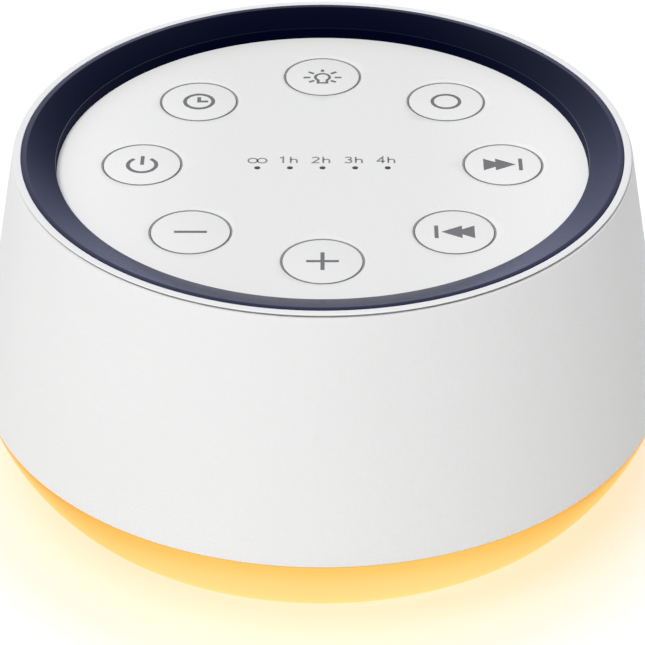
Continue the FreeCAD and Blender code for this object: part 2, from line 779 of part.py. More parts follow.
# The speaker fires down through the grille: gasket, basket, magnet and moving cone.
screw_clearance = [cylinder(x, y, base_top, flange_top, fine_screw_radius + slack)
                   for x, y in speaker_screw_places]
gasket = tube(base_top, flange_bottom, speaker_radius, basket_mouth_radius)
parts["speaker_gasket"] = without(gasket, [
    cylinder(x, y, base_top, flange_bottom, fine_head_radius + slack)
    for x, y in speaker_screw_places
])
neck_outside = basket_neck_radius + basket_sheet
basket = lathe([
    (basket_mouth_radius, flange_bottom),
    (speaker_radius, flange_bottom),
    (speaker_radius, flange_top),
    (basket_wall_radius + basket_sheet, flange_top),
    (neck_outside, spider_top),
    (neck_outside, basket_back),
    (magnet_bore_radius, basket_back),
    (magnet_bore_radius, basket_back - basket_sheet),
    (basket_neck_radius, basket_back - basket_sheet),
    (basket_neck_radius, spider_top + basket_sheet),
    (basket_neck_radius - spider_shelf, spider_top + basket_sheet),
    (basket_neck_radius - spider_shelf, spider_top),
    (basket_neck_radius, spider_top),
    (basket_wall_radius, flange_top),
    (basket_mouth_radius, flange_top),
])
window_low = flange_top + basket_depth / 6
window_high = flange_top + basket_depth / 2
windows = []
for angle in (0, 90):
    window = block_on(0, 0, 2 * speaker_radius, basket_neck_radius, window_low, window_high)
    window.rotate(FreeCAD.Vector(0, 0, 0), FreeCAD.Vector(0, 0, 1), angle)
    windows.append(window)
parts["speaker_basket"] = without(basket, windows + screw_clearance)
parts["speaker_screws"] = group([fine_screw(x, y, flange_top, small_screw_length, up=False)
                                 for x, y in speaker_screw_places])
parts["speaker_front_plate"] = tube(basket_back, front_plate_top, front_plate_radius, gap_radius)
parts["speaker_magnet"] = tube(front_plate_top, magnet_top, magnet_radius, magnet_bore_radius)
back_plate = cylinder(0, 0, magnet_top, yoke_top, front_plate_radius)
pole = cylinder(0, 0, basket_back, magnet_top, pole_radius)
parts["speaker_yoke"] = fused(back_plate, [pole])

parts["voice_coil"] = tube(coil_bottom, coil_top, coil_outer_radius, coil_inner_radius)
cone_inner_z = coil_bottom + cone_sheet
cone_outer_z = cone_inner_z - cone_rise


def cone_front(radius):
    """Height of the cone's lower face at a radius."""
    share = (radius - coil_outer_radius) / (cone_radius - coil_outer_radius)
    return cone_inner_z - share * cone_rise


parts["speaker_cone"] = lathe([
    (coil_outer_radius, cone_inner_z),
    (cone_radius, cone_outer_z),
    (cone_radius, cone_outer_z + cone_sheet),
    (coil_outer_radius, cone_inner_z + cone_sheet),
])
cap_radius = coil_outer_radius + dust_cap_overlap
cap_edge = cone_front(cap_radius)
cap_sphere = (cap_radius ** 2 + dust_cap_rise ** 2) / (2 * dust_cap_rise)


def cap_point(radius, outward):
    """A point of the domed cap, moved outward along the dome's own radius."""
    centre_z = cap_edge - dust_cap_rise + cap_sphere
    lean = math.asin(radius / cap_sphere)
    reach = cap_sphere + outward
    return reach * math.sin(lean), centre_z - reach * math.cos(lean)


parts["dust_cap"] = lathe_wire([
    arc(cap_point(0, dust_cap_sheet), cap_point(cap_radius / 2, dust_cap_sheet),
        cap_point(cap_radius, dust_cap_sheet)),
    line(cap_point(cap_radius, dust_cap_sheet), cap_point(cap_radius, 0)),
    arc(cap_point(cap_radius, 0), cap_point(cap_radius / 2, 0), cap_point(0, 0)),
    line(cap_point(0, 0), cap_point(0, dust_cap_sheet)),
])

# The surround: a half roll from the flange to the cone, with a flat lip glued on each.
surround_low = cone_outer_z + cone_sheet
surround_outer_radius = basket_mouth_radius + surround_lip
roll_middle = (basket_mouth_radius + cone_radius) / 2
roll_top = flange_top + (basket_mouth_radius - cone_radius) / 2
inner_lip_radius = cone_radius - surround_lip
inner_lip_z = cone_front(inner_lip_radius) + cone_sheet
parts["surround"] = lathe_wire(
    lines([
        (inner_lip_radius, inner_lip_z + surround_sheet),
        (inner_lip_radius, inner_lip_z),
        (cone_radius, surround_low),
    ])
    + [arc((cone_radius, surround_low), (roll_middle, roll_top),
           (basket_mouth_radius, flange_top))]
    + lines([
        (basket_mouth_radius, flange_top),
        (surround_outer_radius, flange_top),
        (surround_outer_radius, flange_top + surround_sheet),
        (basket_mouth_radius, flange_top + surround_sheet),
    ])
    + [arc((basket_mouth_radius, flange_top + surround_sheet),
           (roll_middle, roll_top + surround_sheet),
           (cone_radius, surround_low + surround_sheet))]
    + [line((cone_radius, surround_low + surround_sheet),
            (inner_lip_radius, inner_lip_z + surround_sheet))]
)

# The spider: a folded disc that centres the coil, glued under the basket's shelf.
spider_land_radius = basket_neck_radius - spider_shelf
spider_reach = spider_land_radius - coil_outer_radius
spider_upper = []
for fold in range(2 * spider_folds + 1):
    depth = spider_wave if fold % 2 else 0
    spider_upper.append((coil_outer_radius + spider_reach * fold / (2 * spider_folds),
                         spider_top - depth))
spider_upper.append((basket_neck_radius - fit, spider_top))
spider_lower = [(radius, z - spider_sheet) for radius, z in reversed(spider_upper)]
parts["spider"] = lathe(spider_upper + spider_lower)

# The main board: its outline follows the shell, and the power socket hangs over its rear
# edge into the recess.
main_board = block(-main_board_half_width, main_board_half_width, main_board_front,
                   board_rear, main_board_bottom, main_board_top)
main_board = main_board.common(
    cylinder(0, 0, main_board_bottom, main_board_top, main_board_radius))
parts["main_board"] = without(main_board, [
    cylinder(x, y, main_board_bottom, main_board_top, fine_screw_radius + slack)
    for x, y in main_post_places
])
parts["main_board_screws"] = group([
    fine_screw(x, y, main_board_top, fine_screw_length, up=False) for x, y in main_post_places
])
inlet_back = inlet_face_y - inlet_depth
inlet_shell = stadium(inlet_width, inlet_height, inlet_back, inlet_face_y, inlet_z)
inlet_hollow = stadium(inlet_width - 2 * inlet_sheet, inlet_height - 2 * inlet_sheet,
                       inlet_back + inlet_overhang, inlet_face_y, inlet_z)
tongue = block(-inlet_tongue_width / 2, inlet_tongue_width / 2, inlet_back + inlet_overhang,
               inlet_face_y - inlet_overhang / 2, inlet_z - inlet_tongue_height / 2,
               inlet_z + inlet_tongue_height / 2)
parts["power_socket"] = group([without(inlet_shell, [inlet_hollow]), tongue])
parts["main_board_chips"] = group([
    block_on(i * chip_pitch, chip_row_y, chip_side, chip_side, main_board_top,
             main_board_top + chip_height)
    for i in (-1, 0, 1)
])
parts["main_board_capacitors"] = group([
    cylinder(x, capacitor_y, main_board_top, button_board_bottom - capacitor_clearance,
             capacitor_radius)
    for x in (-capacitor_x, capacitor_x)
])

# The flat ribbon between the two boards, and its sockets.
ribbon_high = button_board_bottom - socket_height / 2
ribbon_low = main_board_top + socket_height / 2
ribbon_bend = (ribbon_high - ribbon_low) / 2
ribbon_face = ribbon_socket_y - socket_depth
ribbon_turn = ribbon_face - ribbon_reach
ribbon_half = ribbon_width / 2
socket_half = ribbon_half + 1.0
parts["ribbon_sockets"] = group([
    block(-socket_half, socket_half, ribbon_face, ribbon_socket_y,
          button_board_bottom - socket_height, button_board_bottom),
    block(-socket_half, socket_half, ribbon_face, ribbon_socket_y,
          main_board_top, main_board_top + socket_height),
])
bend_start = FreeCAD.Vector(-ribbon_half, ribbon_turn, (ribbon_high + ribbon_low) / 2)
across = FreeCAD.Vector(1, 0, 0)
half_sheet = ribbon_thickness / 2
bend = Part.makeCylinder(ribbon_bend + half_sheet, ribbon_width, bend_start, across)
bend = bend.cut(Part.makeCylinder(ribbon_bend - half_sheet, ribbon_width, bend_start, across))
bend = bend.common(block(-ribbon_half, ribbon_half, ribbon_turn - 2 * ribbon_bend, ribbon_turn,
                         ribbon_low - 1, ribbon_high + 1))
runs = [block(-ribbon_half, ribbon_half, ribbon_turn, ribbon_face, z - half_sheet,
              z + half_sheet) for z in (ribbon_low, ribbon_high)]
parts["button_ribbon"] = fused(bend, runs)


# The two-wire leads to the speaker and to the lamp.
def lead_wire(start, rise_to, toward, end):
    """One wire: straight up from start, round a bend, and level to its end."""
    up = FreeCAD.Vector(0, 0, 1)
    corner = FreeCAD.Vector(start.x, start.y, rise_to)
    before = corner - up * lead_bend_radius
    after = corner + toward * lead_bend_radius
    centre = before + toward * lead_bend_radius
    middle = centre + (up - toward) * (lead_bend_radius * math.sqrt(0.5))
    finish = corner + toward * end
    path = Part.Wire([
        Part.LineSegment(start, before).toShape(),
        Part.Arc(before, middle, after).toShape(),
        Part.LineSegment(after, finish).toShape(),
    ])
    ring = Part.Wire([Part.Circle(start, up, lead_radius).toShape()])
    return path.makePipeShell([ring], True, False)


lead_z = main_board_bottom - socket_height / 2
lead_end = lead_bend_radius + lead_level_run
half_spacing = lead_spacing / 2
terminal_x = -(front_plate_radius + neck_outside) / 2
terminal_top = basket_back + terminal_thickness
parts["speaker_terminals"] = block_on(terminal_x, 0, terminal_width, 2 * lead_spacing,
                                      basket_back, terminal_top)
parts["speaker_lead"] = group([
    lead_wire(FreeCAD.Vector(terminal_x, y, terminal_top), lead_z, FreeCAD.Vector(1, 0, 0),
              lead_end)
    for y in (-half_spacing, half_spacing)
])
parts["lamp_lead"] = group([
    lead_wire(FreeCAD.Vector(x, lead_hole_y, chassis_bottom), lead_z, FreeCAD.Vector(0, 1, 0),
              lead_end)
    for x in (-half_spacing, half_spacing)
])
speaker_socket_x = terminal_x + lead_end
lamp_socket_y = lead_hole_y + lead_end
parts["lead_sockets"] = group([
    block(speaker_socket_x, speaker_socket_x + socket_depth, -lead_spacing, lead_spacing,
          main_board_bottom - socket_height, main_board_bottom),
    block(-lead_spacing, lead_spacing, lamp_socket_y, lamp_socket_y + socket_depth,
          main_board_bottom - socket_height, main_board_bottom),
])

os.makedirs("parts", exist_ok=True)
for name, shape in parts.items():
    shape.exportStep("parts/" + name + ".step")
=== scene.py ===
import math

import bmesh
import bpy
import numpy as np
from mathutils import Euler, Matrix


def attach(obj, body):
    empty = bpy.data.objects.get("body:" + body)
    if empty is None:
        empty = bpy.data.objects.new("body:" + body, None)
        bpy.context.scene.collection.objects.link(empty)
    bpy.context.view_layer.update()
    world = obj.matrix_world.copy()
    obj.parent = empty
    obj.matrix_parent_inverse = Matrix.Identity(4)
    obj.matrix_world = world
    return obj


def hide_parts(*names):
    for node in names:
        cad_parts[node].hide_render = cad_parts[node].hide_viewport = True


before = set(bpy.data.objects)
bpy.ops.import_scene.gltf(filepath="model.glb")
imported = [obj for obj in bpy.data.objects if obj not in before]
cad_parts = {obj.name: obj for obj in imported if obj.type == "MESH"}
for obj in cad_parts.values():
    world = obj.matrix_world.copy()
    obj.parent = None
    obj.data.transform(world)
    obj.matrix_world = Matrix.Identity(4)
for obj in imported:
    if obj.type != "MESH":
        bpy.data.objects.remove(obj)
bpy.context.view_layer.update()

# The camera: in front of the machine and 33.5 degrees above it, a long lens looking at the
# middle of the body. It stands where the circles of rim, panel and seam appear as they should.
eye = bpy.data.cameras.new("eye")
eye.lens = 175.02
eye.sensor_width = 36.0
eye.clip_start = 0.01
viewer = bpy.data.objects.new("viewer", eye)
viewer.location = (0.0, -0.414743, 0.298171)
viewer.rotation_euler = Euler((math.radians(56.485), 0.0, 0.0))
bpy.context.scene.collection.objects.link(viewer)
bpy.context.scene.camera = viewer


# Rubber feet: four round pads of soft dark grey silicone rubber, pushed into the cups under
# the base plate. Each is moulded with a rounded tread and a shallow dish in its sole, so that
# it grips the table by its rim.
class Tree:
    """Nodes of a material or of the sky, added one by one."""

    def __init__(self, tree):
        self.tree = tree

    def node(self, kind, settings=None, values=None, output=0):
        """Adds a node. Its settings go in first, then the values or links of its sockets."""
        made = self.tree.nodes.new(kind)
        for key, setting in (settings or {}).items():
            if key == "stops":
                while len(made.color_ramp.elements) < len(setting):
                    made.color_ramp.elements.new(0.5)
                for stop, (place, color) in zip(made.color_ramp.elements, setting):
                    stop.position = place
                    stop.color = color
            else:
                setattr(made, key, setting)
        for key, value in (values or {}).items():
            if isinstance(value, Shade):
                self.tree.links.new(value.socket, made.inputs[key])
            else:
                made.inputs[key].default_value = value
        return Shade(self, made.outputs[output])

    def mix(self, first, second, share):
        """The first colour where the share is 0, the second where it is 1."""
        values = {0: share, 6: first, 7: second}
        return self.node("ShaderNodeMix", {"data_type": "RGBA"}, values, 2)


class Shade:
    """A number, a place or a colour on its way through the nodes. Sums on it add Math nodes."""

    def __init__(self, tree, socket):
        self.tree = tree
        self.socket = socket

    def math(self, operation, *values):
        return self.tree.node("ShaderNodeMath", {"operation": operation}, dict(enumerate(values)))

    def __add__(self, other):
        return self.math("ADD", self, other)

    def __radd__(self, other):
        return self.math("ADD", other, self)

    def __sub__(self, other):
        return self.math("SUBTRACT", self, other)

    def __rsub__(self, other):
        return self.math("SUBTRACT", other, self)

    def __mul__(self, other):
        return self.math("MULTIPLY", self, other)

    def __rmul__(self, other):
        return self.math("MULTIPLY", other, self)

    def __truediv__(self, other):
        return self.math("DIVIDE", self, other)

    def __pow__(self, other):
        return self.math("POWER", self, other)

    def waves(self, pitch):
        """Sine of a place along one direction, with one full wave every pitch metres."""
        return self.math("SINE", self * (2 * math.pi / pitch))

    def size(self):
        """The value without its sign."""
        return self.math("ABSOLUTE", self)

    def over(self, limit):
        """1 where the value is above the limit, and 0 elsewhere."""
        return self.math("GREATER_THAN", self, limit)

    def ease(self, low, high):
        """0 below low, 1 above high, and smooth between them."""
        settings = {"interpolation_type": "SMOOTHSTEP"}
        return self.tree.node("ShaderNodeMapRange", settings, {0: self, 1: low, 2: high})


class Finish(Tree):
    """One surface finish, worked out from the place on the piece, round one shader."""

    def __init__(self, name, **constants):
        self.material = bpy.data.materials.new(name)
        self.material.use_nodes = True
        super().__init__(self.material.node_tree)
        self.shader = self.tree.nodes["Principled BSDF"]
        for key, value in constants.items():
            self.shader.inputs[key.replace("_", " ")].default_value = value
        self.place = self.node("ShaderNodeTexCoord", output="Object")

    def along(self, axis):
        """One coordinate of the place, in metres."""
        return self.node("ShaderNodeSeparateXYZ", None, {0: self.place}, axis)

    def reach(self):
        """Distance of the place from the machine's upright axis."""
        return (self.along("X") ** 2 + self.along("Y") ** 2) ** 0.5

    def grain(self, size, detail, stretch=(1.0, 1.0, 1.0)):
        """Cloudy noise from 0 to 1 whose blotches are about size metres across."""
        scaled = self.node("ShaderNodeMapping", None, {"Vector": self.place, "Scale": stretch})
        values = {"Vector": scaled, "Scale": 1.0 / size, "Detail": detail}
        return self.node("ShaderNodeTexNoise", {"noise_dimensions": "3D"}, values, "Fac")

    def feed(self, **shades):
        """Links shades to the shader's sockets, named with _ in place of a space."""
        for key, shade in shades.items():
            self.tree.links.new(shade.socket, self.shader.inputs[key.replace("_", " ")])

    def relief(self, height, depth):
        """Raises the surface by depth metres where height is 1."""
        values = {"Height": height, "Distance": depth, "Strength": 1.0}
        self.feed(Normal=self.node("ShaderNodeBump", None, values))


def srgb(red, green, blue):
    """A colour of the screen, 0 to 255, as the light that it stands for."""
    parts = np.array([red, green, blue]) / 255.0
    light = np.where(parts <= 0.04045, parts / 12.92, ((parts + 0.055) / 1.055) ** 2.4)
    return tuple(light) + (1.0,)


def eroded(name, roughness, spread, texture, depth, **constants):
    """The skin that a mould gives plastic or rubber, with no colour yet: a fine spark-eroded
    texture, and a gloss that varies with it and with a slow drift as the melt flowed."""
    finish = Finish(name, **constants)
    finish.drift = finish.grain(0.030, 1.0)
    finish.fine = finish.grain(texture, 3.0)
    finish.feed(Roughness=roughness + spread * (finish.fine - 0.5)
                + spread * 0.5 * (finish.drift - 0.5))
    finish.relief(finish.fine, depth)
    return finish


def moulded(name, color, other_color, roughness, spread, texture, depth, **constants):
    """Moulded plastic or rubber that wanders slowly between two near colours."""
    finish = eroded(name, roughness, spread, texture, depth, **constants)
    flow = finish.drift * 0.7 + finish.fine * 0.3
    finish.feed(Base_Color=finish.mix(color, other_color, flow))
    return finish


def softened(corners, steps=4):
    """Points of an outline whose corners are (r, z) or (r, z, size). A corner with a size is
    cut off by a parabola that starts and ends that far along its two sides."""
    places = np.array([corner[:2] for corner in corners], float)
    rounded = []
    for i, corner in enumerate(corners):
        if len(corner) == 2:
            rounded.append(places[i:i + 1])
            continue
        ends = np.array([places[i - 1], places[(i + 1) % len(corners)]]) - places[i]
        ends *= corner[2] / np.linalg.norm(ends, axis=1, keepdims=True)
        share = np.linspace(0.0, 1.0, steps + 1)[:, None]
        rounded.append(places[i] + (1 - share) ** 2 * ends[0] + share ** 2 * ends[1])
    return np.concatenate(rounded)


def grid_faces(rows, columns, first=0):
    """Four-sided faces of a grid that closes on itself both ways, as rows x columns x 4."""
    index = first + np.arange(rows * columns).reshape(rows, columns)
    down = np.roll(index, -1, axis=0)
    return np.stack([index, np.roll(index, -1, axis=1), np.roll(down, -1, axis=1), down], axis=-1)


def piece_of(name, points, faces, sharp=35.0):
    """Puts points in millimetres and faces into one closed piece, with seams and poles merged
    and faces pointing outwards. Edges sharper than the given angle stay crisp."""
    mesh = bpy.data.meshes.new(name)
    mesh.from_pydata(np.asarray(points).reshape(-1, 3) / 1000.0, [], faces)
    work = bmesh.new()
    work.from_mesh(mesh)
    bmesh.ops.remove_doubles(work, verts=work.verts, dist=1e-6)
    bmesh.ops.recalc_face_normals(work, faces=work.faces)
    work.to_mesh(mesh)
    work.free()
    mesh.polygons.foreach_set("use_smooth", np.ones(len(mesh.polygons), bool))
    mesh.set_sharp_from_angle(angle=math.radians(sharp))
    piece = bpy.data.objects.new(name, mesh)
    bpy.context.scene.collection.objects.link(piece)
    return piece


def turned_points(outline, turns):
    """An outline turned round the upright axis: the point (r, z) at the angle a goes to
    (r cos a, r sin a, z)."""
    angle = np.arange(turns) * (2 * np.pi / turns)
    radius, height = np.asarray(outline, float).T
    return np.stack([radius[:, None] * np.cos(angle), radius[:, None] * np.sin(angle),
                     np.repeat(height[:, None], turns, axis=1)], axis=-1)


def turned(name, outline, turns, places=((0.0, 0.0),), sharp=35.0):
    """One piece from an outline turned round each of the places, (x, y) in millimetres."""
    one = turned_points(outline, turns)
    copies = [one + np.array([x, y, 0.0]) for x, y in places]
    faces = [grid_faces(one.shape[0], turns, i * one.shape[0] * turns).reshape(-1, 4)
             for i in range(len(copies))]
    return piece_of(name, np.array(copies), np.concatenate(faces).tolist(), sharp)


def around(radius, count, first):
    """Evenly spaced places on a circle, the first one at an angle in degrees."""
    angle = np.radians(first + np.arange(count) * 360.0 / count)
    return np.stack([radius * np.cos(angle), radius * np.sin(angle)], axis=-1)


def belongs(piece, finish, body, slot, *nodes):
    """Gives a piece its finish and its body, and hides the nodes that it stands for. The slot is
    not used.
    """
    piece.data.materials.append(finish.material)
    if nodes:
        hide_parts(*nodes)
    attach(piece, body)


rubber = moulded("rubber_grey", srgb(72, 73, 75), srgb(60, 61, 64), 0.72, 0.16, 0.00025, 0.00002,
                 Specular_IOR_Level=0.35)
foot_circle = 31.497
foot_radius = 4.0
foot_top = 2.2
tread_inner = 2.7
dish_radius = 2.3
dish_depth = 0.35
foot_outline = softened([
    (0.0, dish_depth), (dish_radius, dish_depth, 0.3), (tread_inner, 0.0, 0.3),
    (foot_radius, 0.0, 0.6), (foot_radius, foot_top, 0.15), (0.0, foot_top),
])
feet = turned("rubber_pads", foot_outline, 64, around(foot_circle, 4, 45.0))
belongs(feet, rubber, "housing", "rubber_grey", "rubber_feet")


# Base plate: a white injection-moulded disc screwed up to the posts from inside the feet's
# cups. Its underside has the five rings of round holes that the speaker plays through, and
# the coarser texture that hidden faces get. It stays as built, with its screws.
def dress(finish, *nodes):
    """Gives nodes that are right as built a finish of their own."""
    for node in nodes:
        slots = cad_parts[node].material_slots
        if len(slots) == 0:
            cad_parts[node].data.materials.append(finish.material)
        for slot in slots:
            slot.material = finish.material


base_white = moulded("base_white", srgb(226, 226, 225), srgb(219, 219, 219), 0.55, 0.15, 0.0004,
                     0.00003)
dress(base_white, "base_plate")


def drawn(name, roughness, scratch_width, stretch, **constants):
    """The skin of drawn metal, with no colour yet: fine scratches along one direction, and a
    gloss that varies with them and with faint stains."""
    finish = Finish(name, **constants)
    scratches = finish.grain(scratch_width, 4.0, stretch)
    finish.stain = finish.grain(0.004, 2.0)
    finish.feed(Roughness=roughness + 0.18 * scratches + 0.1 * finish.stain)
    finish.relief(scratches, 0.000004)
    return finish


zinc = drawn("zinc_plate", 0.22, 0.0006, (1, 1, 6), Metallic=1.0)
zinc.feed(Base_Color=zinc.mix(srgb(205, 207, 208), srgb(176, 175, 170),
                              zinc.stain.ease(0.35, 0.75)))
dress(zinc, "base_screws", "speaker_screws", "lamp_board_screws", "chassis_screws",
      "main_board_screws", "button_board_screws", "ring_screws")

# Speaker: a 52 mm driver that fires down through the grille. Black painted pressed-steel
# basket, foam gasket, ferrite ring between zinc-plated plates, paper cone and dust cap on a
# copper coil, with a rubber half-roll surround and a varnished cloth spider.
painted = moulded("basket_paint", srgb(34, 34, 36), srgb(26, 26, 28), 0.42, 0.14, 0.0005, 0.000012)
dress(painted, "speaker_basket")
foam = moulded("gasket_foam", srgb(40, 40, 42), srgb(28, 28, 30), 0.95, 0.1, 0.0006, 0.00012)
dress(foam, "speaker_gasket")
dress(zinc, "speaker_front_plate", "speaker_yoke")

ferrite = Finish("ferrite")
crystals = ferrite.grain(0.0007, 5.0)
ferrite.feed(Base_Color=ferrite.mix(srgb(62, 62, 66), srgb(44, 44, 47), crystals.ease(0.3, 0.7)))
ferrite.feed(Roughness=0.45 + 0.35 * crystals)
ferrite.relief(crystals, 0.00004)
dress(ferrite, "speaker_magnet")

paper = Finish("cone_paper", Specular_IOR_Level=0.2)
pulp = paper.grain(0.0009, 6.0)
paper_rings = paper.reach().waves(pitch=0.0022)
paper.feed(Base_Color=paper.mix(srgb(40, 39, 40), srgb(62, 60, 60), pulp.ease(0.4, 0.8)))
paper.feed(Roughness=0.75 + 0.2 * pulp)
paper.relief(pulp + 0.25 * paper_rings, 0.00004)
dress(paper, "speaker_cone", "dust_cap")

copper = Finish("copper_winding", Metallic=1.0)
winding = copper.along("Z").waves(pitch=0.00018)
enamel = copper.grain(0.002, 2.0)
copper.feed(Base_Color=copper.mix(srgb(196, 116, 62), srgb(150, 78, 40), enamel))
copper.feed(Roughness=0.28 + 0.1 * enamel)
copper.relief(winding, 0.00003)
dress(copper, "voice_coil")

roll_rubber = moulded("surround_rubber", srgb(38, 38, 40), srgb(30, 30, 32), 0.55, 0.12, 0.0004,
                      0.000015)
dress(roll_rubber, "surround")

cloth = Finish("spider_cloth", Specular_IOR_Level=0.15)
warp = cloth.along("X").waves(pitch=0.0006)
weft = cloth.along("Y").waves(pitch=0.0006)
weave = warp * weft * 0.5 + 0.5
cloth.feed(Base_Color=cloth.mix(srgb(150, 108, 52), srgb(196, 152, 84), weave))
cloth.feed(Roughness=0.9 - 0.2 * weave)
cloth.relief(weave, 0.00005)
dress(cloth, "spider")


# Lamp bowl: milky polycarbonate, blow-smooth outside, pushed up into the shell and lit from
# inside by a ring of amber lights. Its glow is painted in its surface: deepest under the seam
# and paler further down, where the light from the reflector reaches its wall square on, paler
# at the front and deeper to the sides as painted light, and much dimmer above the lip as
# painted shade in the seam's groove.
seam_height = 16.5
seam_radius = 54.1
bowl_foot = 1.2
bowl_side = 29.4
bowl_corner = 12.0
bowl_wall = 2.0
bowl_lean = math.radians(74.3)
lip = seam_height - 0.25
lip_inner = 53.6
opening = 38.317
opening_step = 3.2
opening_inner = 36.467
floor_inside = 4.6
collar_foot = 15.0
collar_top = 18.0
collar_inner = 50.096
collar_outer = 51.596
bowl_centre = np.array([seam_radius - bowl_side * math.sin(bowl_lean),
                        seam_height + bowl_side * math.cos(bowl_lean)])
corner_height = bowl_foot + bowl_corner
corner_reach = math.sqrt((bowl_side - bowl_corner) ** 2 - (bowl_centre[1] - corner_height) ** 2)
corner_middle = np.array([bowl_centre[0] + corner_reach, corner_height])
knee = math.atan2(corner_height - bowl_centre[1], corner_reach)


def curve(middle, radius, first, last, steps):
    """Points on a circle of the outline, between two angles."""
    angle = np.linspace(first, last, steps)
    return np.stack([middle[0] + radius * np.cos(angle), middle[1] + radius * np.sin(angle)], -1)


def drop_angle(middle, radius, height):
    """Angle at which a circle of the outline passes a height."""
    return math.asin(max(-1.0, (height - middle[1]) / radius))


inner_corner = bowl_corner - bowl_wall
inner_side = bowl_side - bowl_wall
bowl_outline = np.concatenate([
    curve(bowl_centre, bowl_side, drop_angle(bowl_centre, bowl_side, lip - 0.15), knee, 14),
    curve(corner_middle, bowl_corner, knee, -math.pi / 2, 22)[1:],
    softened([(opening, bowl_foot, 0.15), (opening, opening_step), (opening_inner, opening_step),
              (opening_inner, floor_inside)], 3),
    curve(corner_middle, inner_corner, drop_angle(corner_middle, inner_corner, floor_inside),
          knee, 14),
    curve(bowl_centre, inner_side, knee, drop_angle(bowl_centre, inner_side, collar_foot), 10)[1:],
    np.array([(collar_inner, collar_foot), (collar_inner, collar_top), (collar_outer, collar_top),
              (collar_outer + 0.054, seam_height), (lip_inner, seam_height), (lip_inner, lip),
              (lip_inner + 0.25, lip), (lip_inner + 0.37, lip - 0.04)]),
])
milk = Finish("bowl_amber", IOR=1.5, Specular_IOR_Level=0.05, Emission_Strength=1.0)
# This share is 1 at the very front of the bowl and falls to 0 towards its sides. With it the
# glow is painted paler at the front and deeper and warmer to the sides: painted light.
bowl_painted_front_light = (milk.along("Y") * -1.0 / milk.reach()).ease(0.65, 1.0)
height = milk.along("Z")
cloud = milk.grain(0.012, 2.0)
fleck = milk.grain(0.0003, 2.0)
milk.feed(Base_Color=milk.mix((0.10, 0.07, 0.035, 1.0), (0.09, 0.06, 0.03, 1.0), cloud))
pale_glow = milk.mix((0.95, 0.62, 0.19, 1.0), (0.97, 0.64, 0.2, 1.0), cloud)
warm_glow = milk.mix((0.92, 0.53, 0.10, 1.0), (0.95, 0.55, 0.11, 1.0), cloud)
deep_glow = milk.mix((0.92, 0.40, 0.04, 1.0), (0.95, 0.42, 0.045, 1.0), cloud)
# Painted light: the glow is paler at the front and warmer and deeper towards the sides.
glow = milk.mix(pale_glow, warm_glow, height.ease(0.0105, 0.0168) + 0.9 * (1.0 - bowl_painted_front_light))
glow = milk.mix(glow, deep_glow, (1.0 - bowl_painted_front_light) * (0.5 + 0.5 * height.ease(0.012, 0.0168)))
# Above the lip the glow is painted much dimmer: painted shade in the groove under the seam.
milk.feed(Emission_Color=milk.mix(glow, (0.34, 0.2, 0.07, 1.0), height.ease(0.01624, 0.01628)))
milk.feed(Roughness=0.26 + 0.12 * fleck)
milk.relief(fleck, 0.000004)
bowl = turned("lamp_bowl", bowl_outline, 256)
belongs(bowl, milk, "housing", "bowl_amber", "diffuser_bowl")


# Lamp: a ring-shaped circuit board under the chassis with twelve warm lights, shining down
# into a white moulded reflector that fills the bowl. The boards are glass fibre with a green
# solder mask, through which the copper tracks show as slightly raised paler bands.
board_green = Finish("circuit_board", Specular_IOR_Level=0.5)
track_x = board_green.along("X").waves(pitch=0.0042)
track_y = board_green.along("Y").waves(pitch=0.0057)
bends = board_green.grain(0.014, 1.0)
tracks = (track_x + track_y * bends + bends * 2.0 - 1.0).ease(0.55, 0.7)
mask_cloud = board_green.grain(0.003, 3.0)
mask_green = board_green.mix(srgb(20, 84, 48), srgb(14, 70, 40), mask_cloud)
board_green.feed(Base_Color=board_green.mix(mask_green, srgb(38, 118, 66), tracks))
board_green.feed(Roughness=0.28 + 0.2 * mask_cloud)
board_green.relief(tracks + 0.1 * mask_cloud, 0.00003)
dress(board_green, "lamp_board", "main_board", "button_board", "speaker_terminals")

lamp_gel = Finish("lamp_gel", Emission_Strength=1.5)
phosphor = lamp_gel.grain(0.0008, 3.0)
lamp_gel.feed(Base_Color=lamp_gel.mix(srgb(250, 214, 120), srgb(240, 188, 84), phosphor))
lamp_gel.feed(Emission_Color=lamp_gel.mix(srgb(255, 190, 96), srgb(255, 206, 128), phosphor))
lamp_gel.feed(Roughness=0.25 + 0.2 * phosphor)
dress(lamp_gel, "lamp_leds", "timer_leds")

inner_white = moulded("inner_white", srgb(230, 229, 224), srgb(222, 221, 216), 0.5, 0.14, 0.0005,
                      0.00002)
dress(inner_white, "light_reflector", "inner_chassis")

# Main board and leads: black moulded chips, capacitors and sockets on the green board, a flat
# ribbon up to the button board and twisted insulated wires down to speaker and lamp. The
# power socket is a bright drawn steel shell round a black tongue.
black = moulded("black_plastic", srgb(36, 36, 38), srgb(28, 28, 30), 0.45, 0.16, 0.0004, 0.00002)
dress(black, "main_board_chips", "main_board_capacitors", "ribbon_sockets", "lead_sockets",
      "switch_bodies")
insulation = Finish("insulation")
ridges = insulation.along("X").waves(pitch=0.0012) * 0.5 + 0.5
scuffs = insulation.grain(0.002, 3.0)
insulation.feed(Base_Color=insulation.mix(srgb(178, 172, 166), srgb(150, 60, 52), ridges))
insulation.feed(Roughness=0.35 + 0.25 * scuffs)
insulation.relief(ridges, 0.00004)
dress(insulation, "speaker_lead", "lamp_lead", "button_ribbon")
socket_height = 33.179
tongue_half_width = 3.6
tongue_half_height = 0.4
socket_steel = drawn("socket_steel", 0.2, 0.0004, (1, 5, 1))
beside = socket_steel.along("X").size().over(tongue_half_width / 1000.0)
apart = (socket_steel.along("Z") - socket_height / 1000.0).size()
tongue = (1.0 - beside) * (1.0 - apart.over(tongue_half_height / 1000.0))
tongue_grain = socket_steel.grain(0.0004, 3.0)
